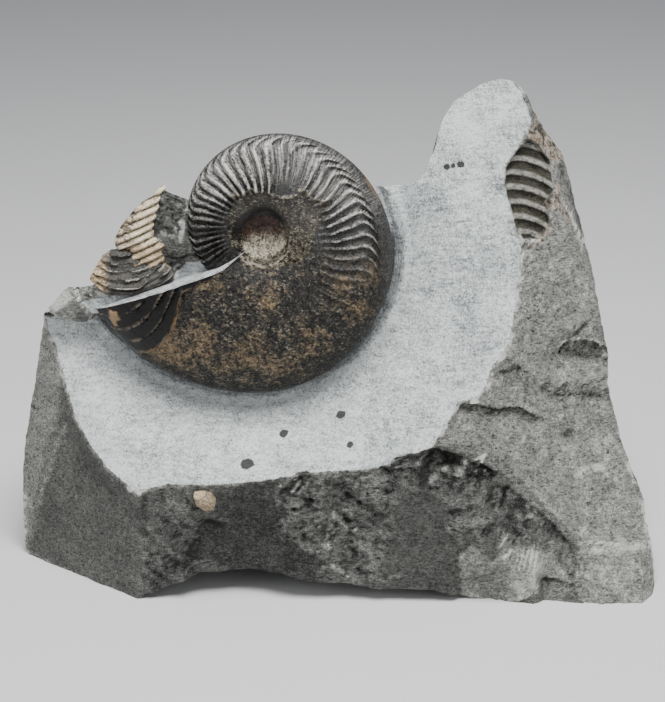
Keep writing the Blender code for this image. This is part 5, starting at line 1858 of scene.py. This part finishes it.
def add_floor(settings):
    """A pale floor, wider than the camera sees."""
    far = FLOOR_REACH
    corners = [(-far, -far, 0), (far, -far, 0), (far, far, 0), (-far, far, 0)]
    mesh = new_mesh("floor", corners, [(0, 1, 2, 3)])
    finish = Finish("floor", Base_Color=(*settings.floor_colour, 1), Roughness=0.9)
    mesh.materials.append(finish.material)
    linked("floor", mesh)


def add_light(name, place, size, power):
    """A square light that faces the object."""
    light = bpy.data.lights.new(name, "AREA")
    light.size = size
    light.energy = power
    lamp = linked(name, light)
    lamp.location = place
    lamp.rotation_euler = (Vector(LIGHT_AIM) - lamp.location).to_track_quat("-Z", "Y").to_euler()


def add_sky(strength):
    """An even light from all round."""
    world = bpy.data.worlds.new("studio")
    world.use_nodes = True
    background = world.node_tree.nodes["Background"]
    background.inputs["Color"].default_value = SKY_COLOUR
    background.inputs["Strength"].default_value = strength
    bpy.context.scene.world = world


def add_camera(settings):
    """The camera in front of the object, looking a little down."""
    camera = bpy.data.cameras.new("camera")
    camera.lens = settings.camera_lens
    camera.sensor_width = 36
    camera.sensor_fit = "AUTO"
    eye = linked("camera", camera)
    target = Vector(place_in_frame(TARGET))
    away = Vector((0, -math.cos(settings.camera_elevation), math.sin(settings.camera_elevation)))
    eye.location = target + away * settings.camera_distance
    eye.rotation_euler = (-away).to_track_quat("-Z", "Y").to_euler()
    bpy.context.scene.camera = eye


# -------------------- Operators

class FOSSIL_OT_block(bpy.types.Operator):
    """Builds the block of shale with its worked bowl and the imprint of a second shell"""

    bl_idname = "fossil.block"
    bl_label = "Block of shale"
    bl_options = {"REGISTER", "UNDO"}

    def execute(self, context):
        settings = context.scene.fossil_block
        outline = shell_outline()
        mesh = block_mesh(outline, settings)
        add_piece("shale_block", smoothed(mesh, stone_finish(outline, settings), angle=38), "matrix")
        return {"FINISHED"}


class FOSSIL_OT_ammonite(bpy.types.Operator):
    """Builds the coiled shell with its ribs, navel, folds and filled mouth"""

    bl_idname = "fossil.ammonite"
    bl_label = "Ammonite"
    bl_options = {"REGISTER", "UNDO"}

    def execute(self, context):
        settings = context.scene.fossil_shell
        mesh = grown_mesh("ammonite shell", shell_tree(), {
            "Columns": SHELL_COLUMNS,
            "Rows": SHELL_ROWS,
            "Mouth columns": FACE_COLUMNS,
            "Rib step": math.degrees(settings.rib_step),
            "Rib height": settings.rib_height / MM,
            "Fold height": settings.fold_height / MM,
            "Shell finish": shell_finish(settings),
            "Mouth finish": filling_finish(settings),
        })
        weathered(mesh)
        mesh.transform(coil_matrix())
        add_piece("ammonite_shell", smoothed(mesh, angle=60), "ammonite")
        return {"FINISHED"}


class FOSSIL_OT_fragments(bpy.types.Operator):
    """Builds the broken shell behind the mouth and the flake on the front"""

    bl_idname = "fossil.fragments"
    bl_label = "Broken shell"
    bl_options = {"REGISTER", "UNDO"}

    def execute(self, context):
        settings = context.scene.fossil_fragment
        ribbed = ribbed_finish(settings)
        mesh = joined("broken shell", fragment_meshes(settings))
        add_piece("broken_shell", smoothed(mesh, ribbed, layered_finish(settings)), "shell_fragment")
        add_piece("shell_flake", smoothed(flake_mesh(), ribbed), "shell_chip")
        return {"FINISHED"}


class FOSSIL_OT_stage(bpy.types.Operator):
    """Sets out the pale floor, the soft lights and the camera"""

    bl_idname = "fossil.stage"
    bl_label = "Studio"
    bl_options = {"REGISTER", "UNDO"}

    def execute(self, context):
        settings = context.scene.fossil_stage
        add_floor(settings)
        add_sky(settings.sky_strength)
        add_light("key", KEY_PLACE, KEY_SIZE, settings.key_power)
        for name, place, size, power in SIDE_LIGHTS:
            add_light(name, place, size, power)
        add_camera(settings)
        return {"FINISHED"}


class FOSSIL_PT_panel(bpy.types.Panel):
    """Lists the pieces and their settings"""

    bl_idname = "FOSSIL_PT_panel"
    bl_label = "Ammonite in Shale"
    bl_space_type = "VIEW_3D"
    bl_region_type = "UI"
    bl_category = "Fossil"

    def draw(self, context):
        for operator, holder, settings in STEPS:
            box = self.layout.box()
            box.operator(operator.bl_idname)
            values = getattr(context.scene, holder)
            for name in settings.__annotations__:
                box.prop(values, name)


# Each operator, where the scene keeps its settings, and their class
STEPS = (
    (FOSSIL_OT_block, "fossil_block", BlockSettings),
    (FOSSIL_OT_ammonite, "fossil_shell", ShellSettings),
    (FOSSIL_OT_fragments, "fossil_fragment", FragmentSettings),
    (FOSSIL_OT_stage, "fossil_stage", StageSettings),
)


def register():
    for operator, holder, settings in STEPS:
        bpy.utils.register_class(settings)
        setattr(bpy.types.Scene, holder, bpy.props.PointerProperty(type=settings))
        bpy.utils.register_class(operator)
    bpy.utils.register_class(FOSSIL_PT_panel)


def unregister():
    bpy.utils.unregister_class(FOSSIL_PT_panel)
    for operator, holder, settings in reversed(STEPS):
        bpy.utils.unregister_class(operator)
        delattr(bpy.types.Scene, holder)
        bpy.utils.unregister_class(settings)


def main():
    register()
    bpy.ops.fossil.block()
    bpy.ops.fossil.ammonite()
    bpy.ops.fossil.fragments()
    bpy.ops.fossil.stage()


if __name__ == "__main__":
    main()
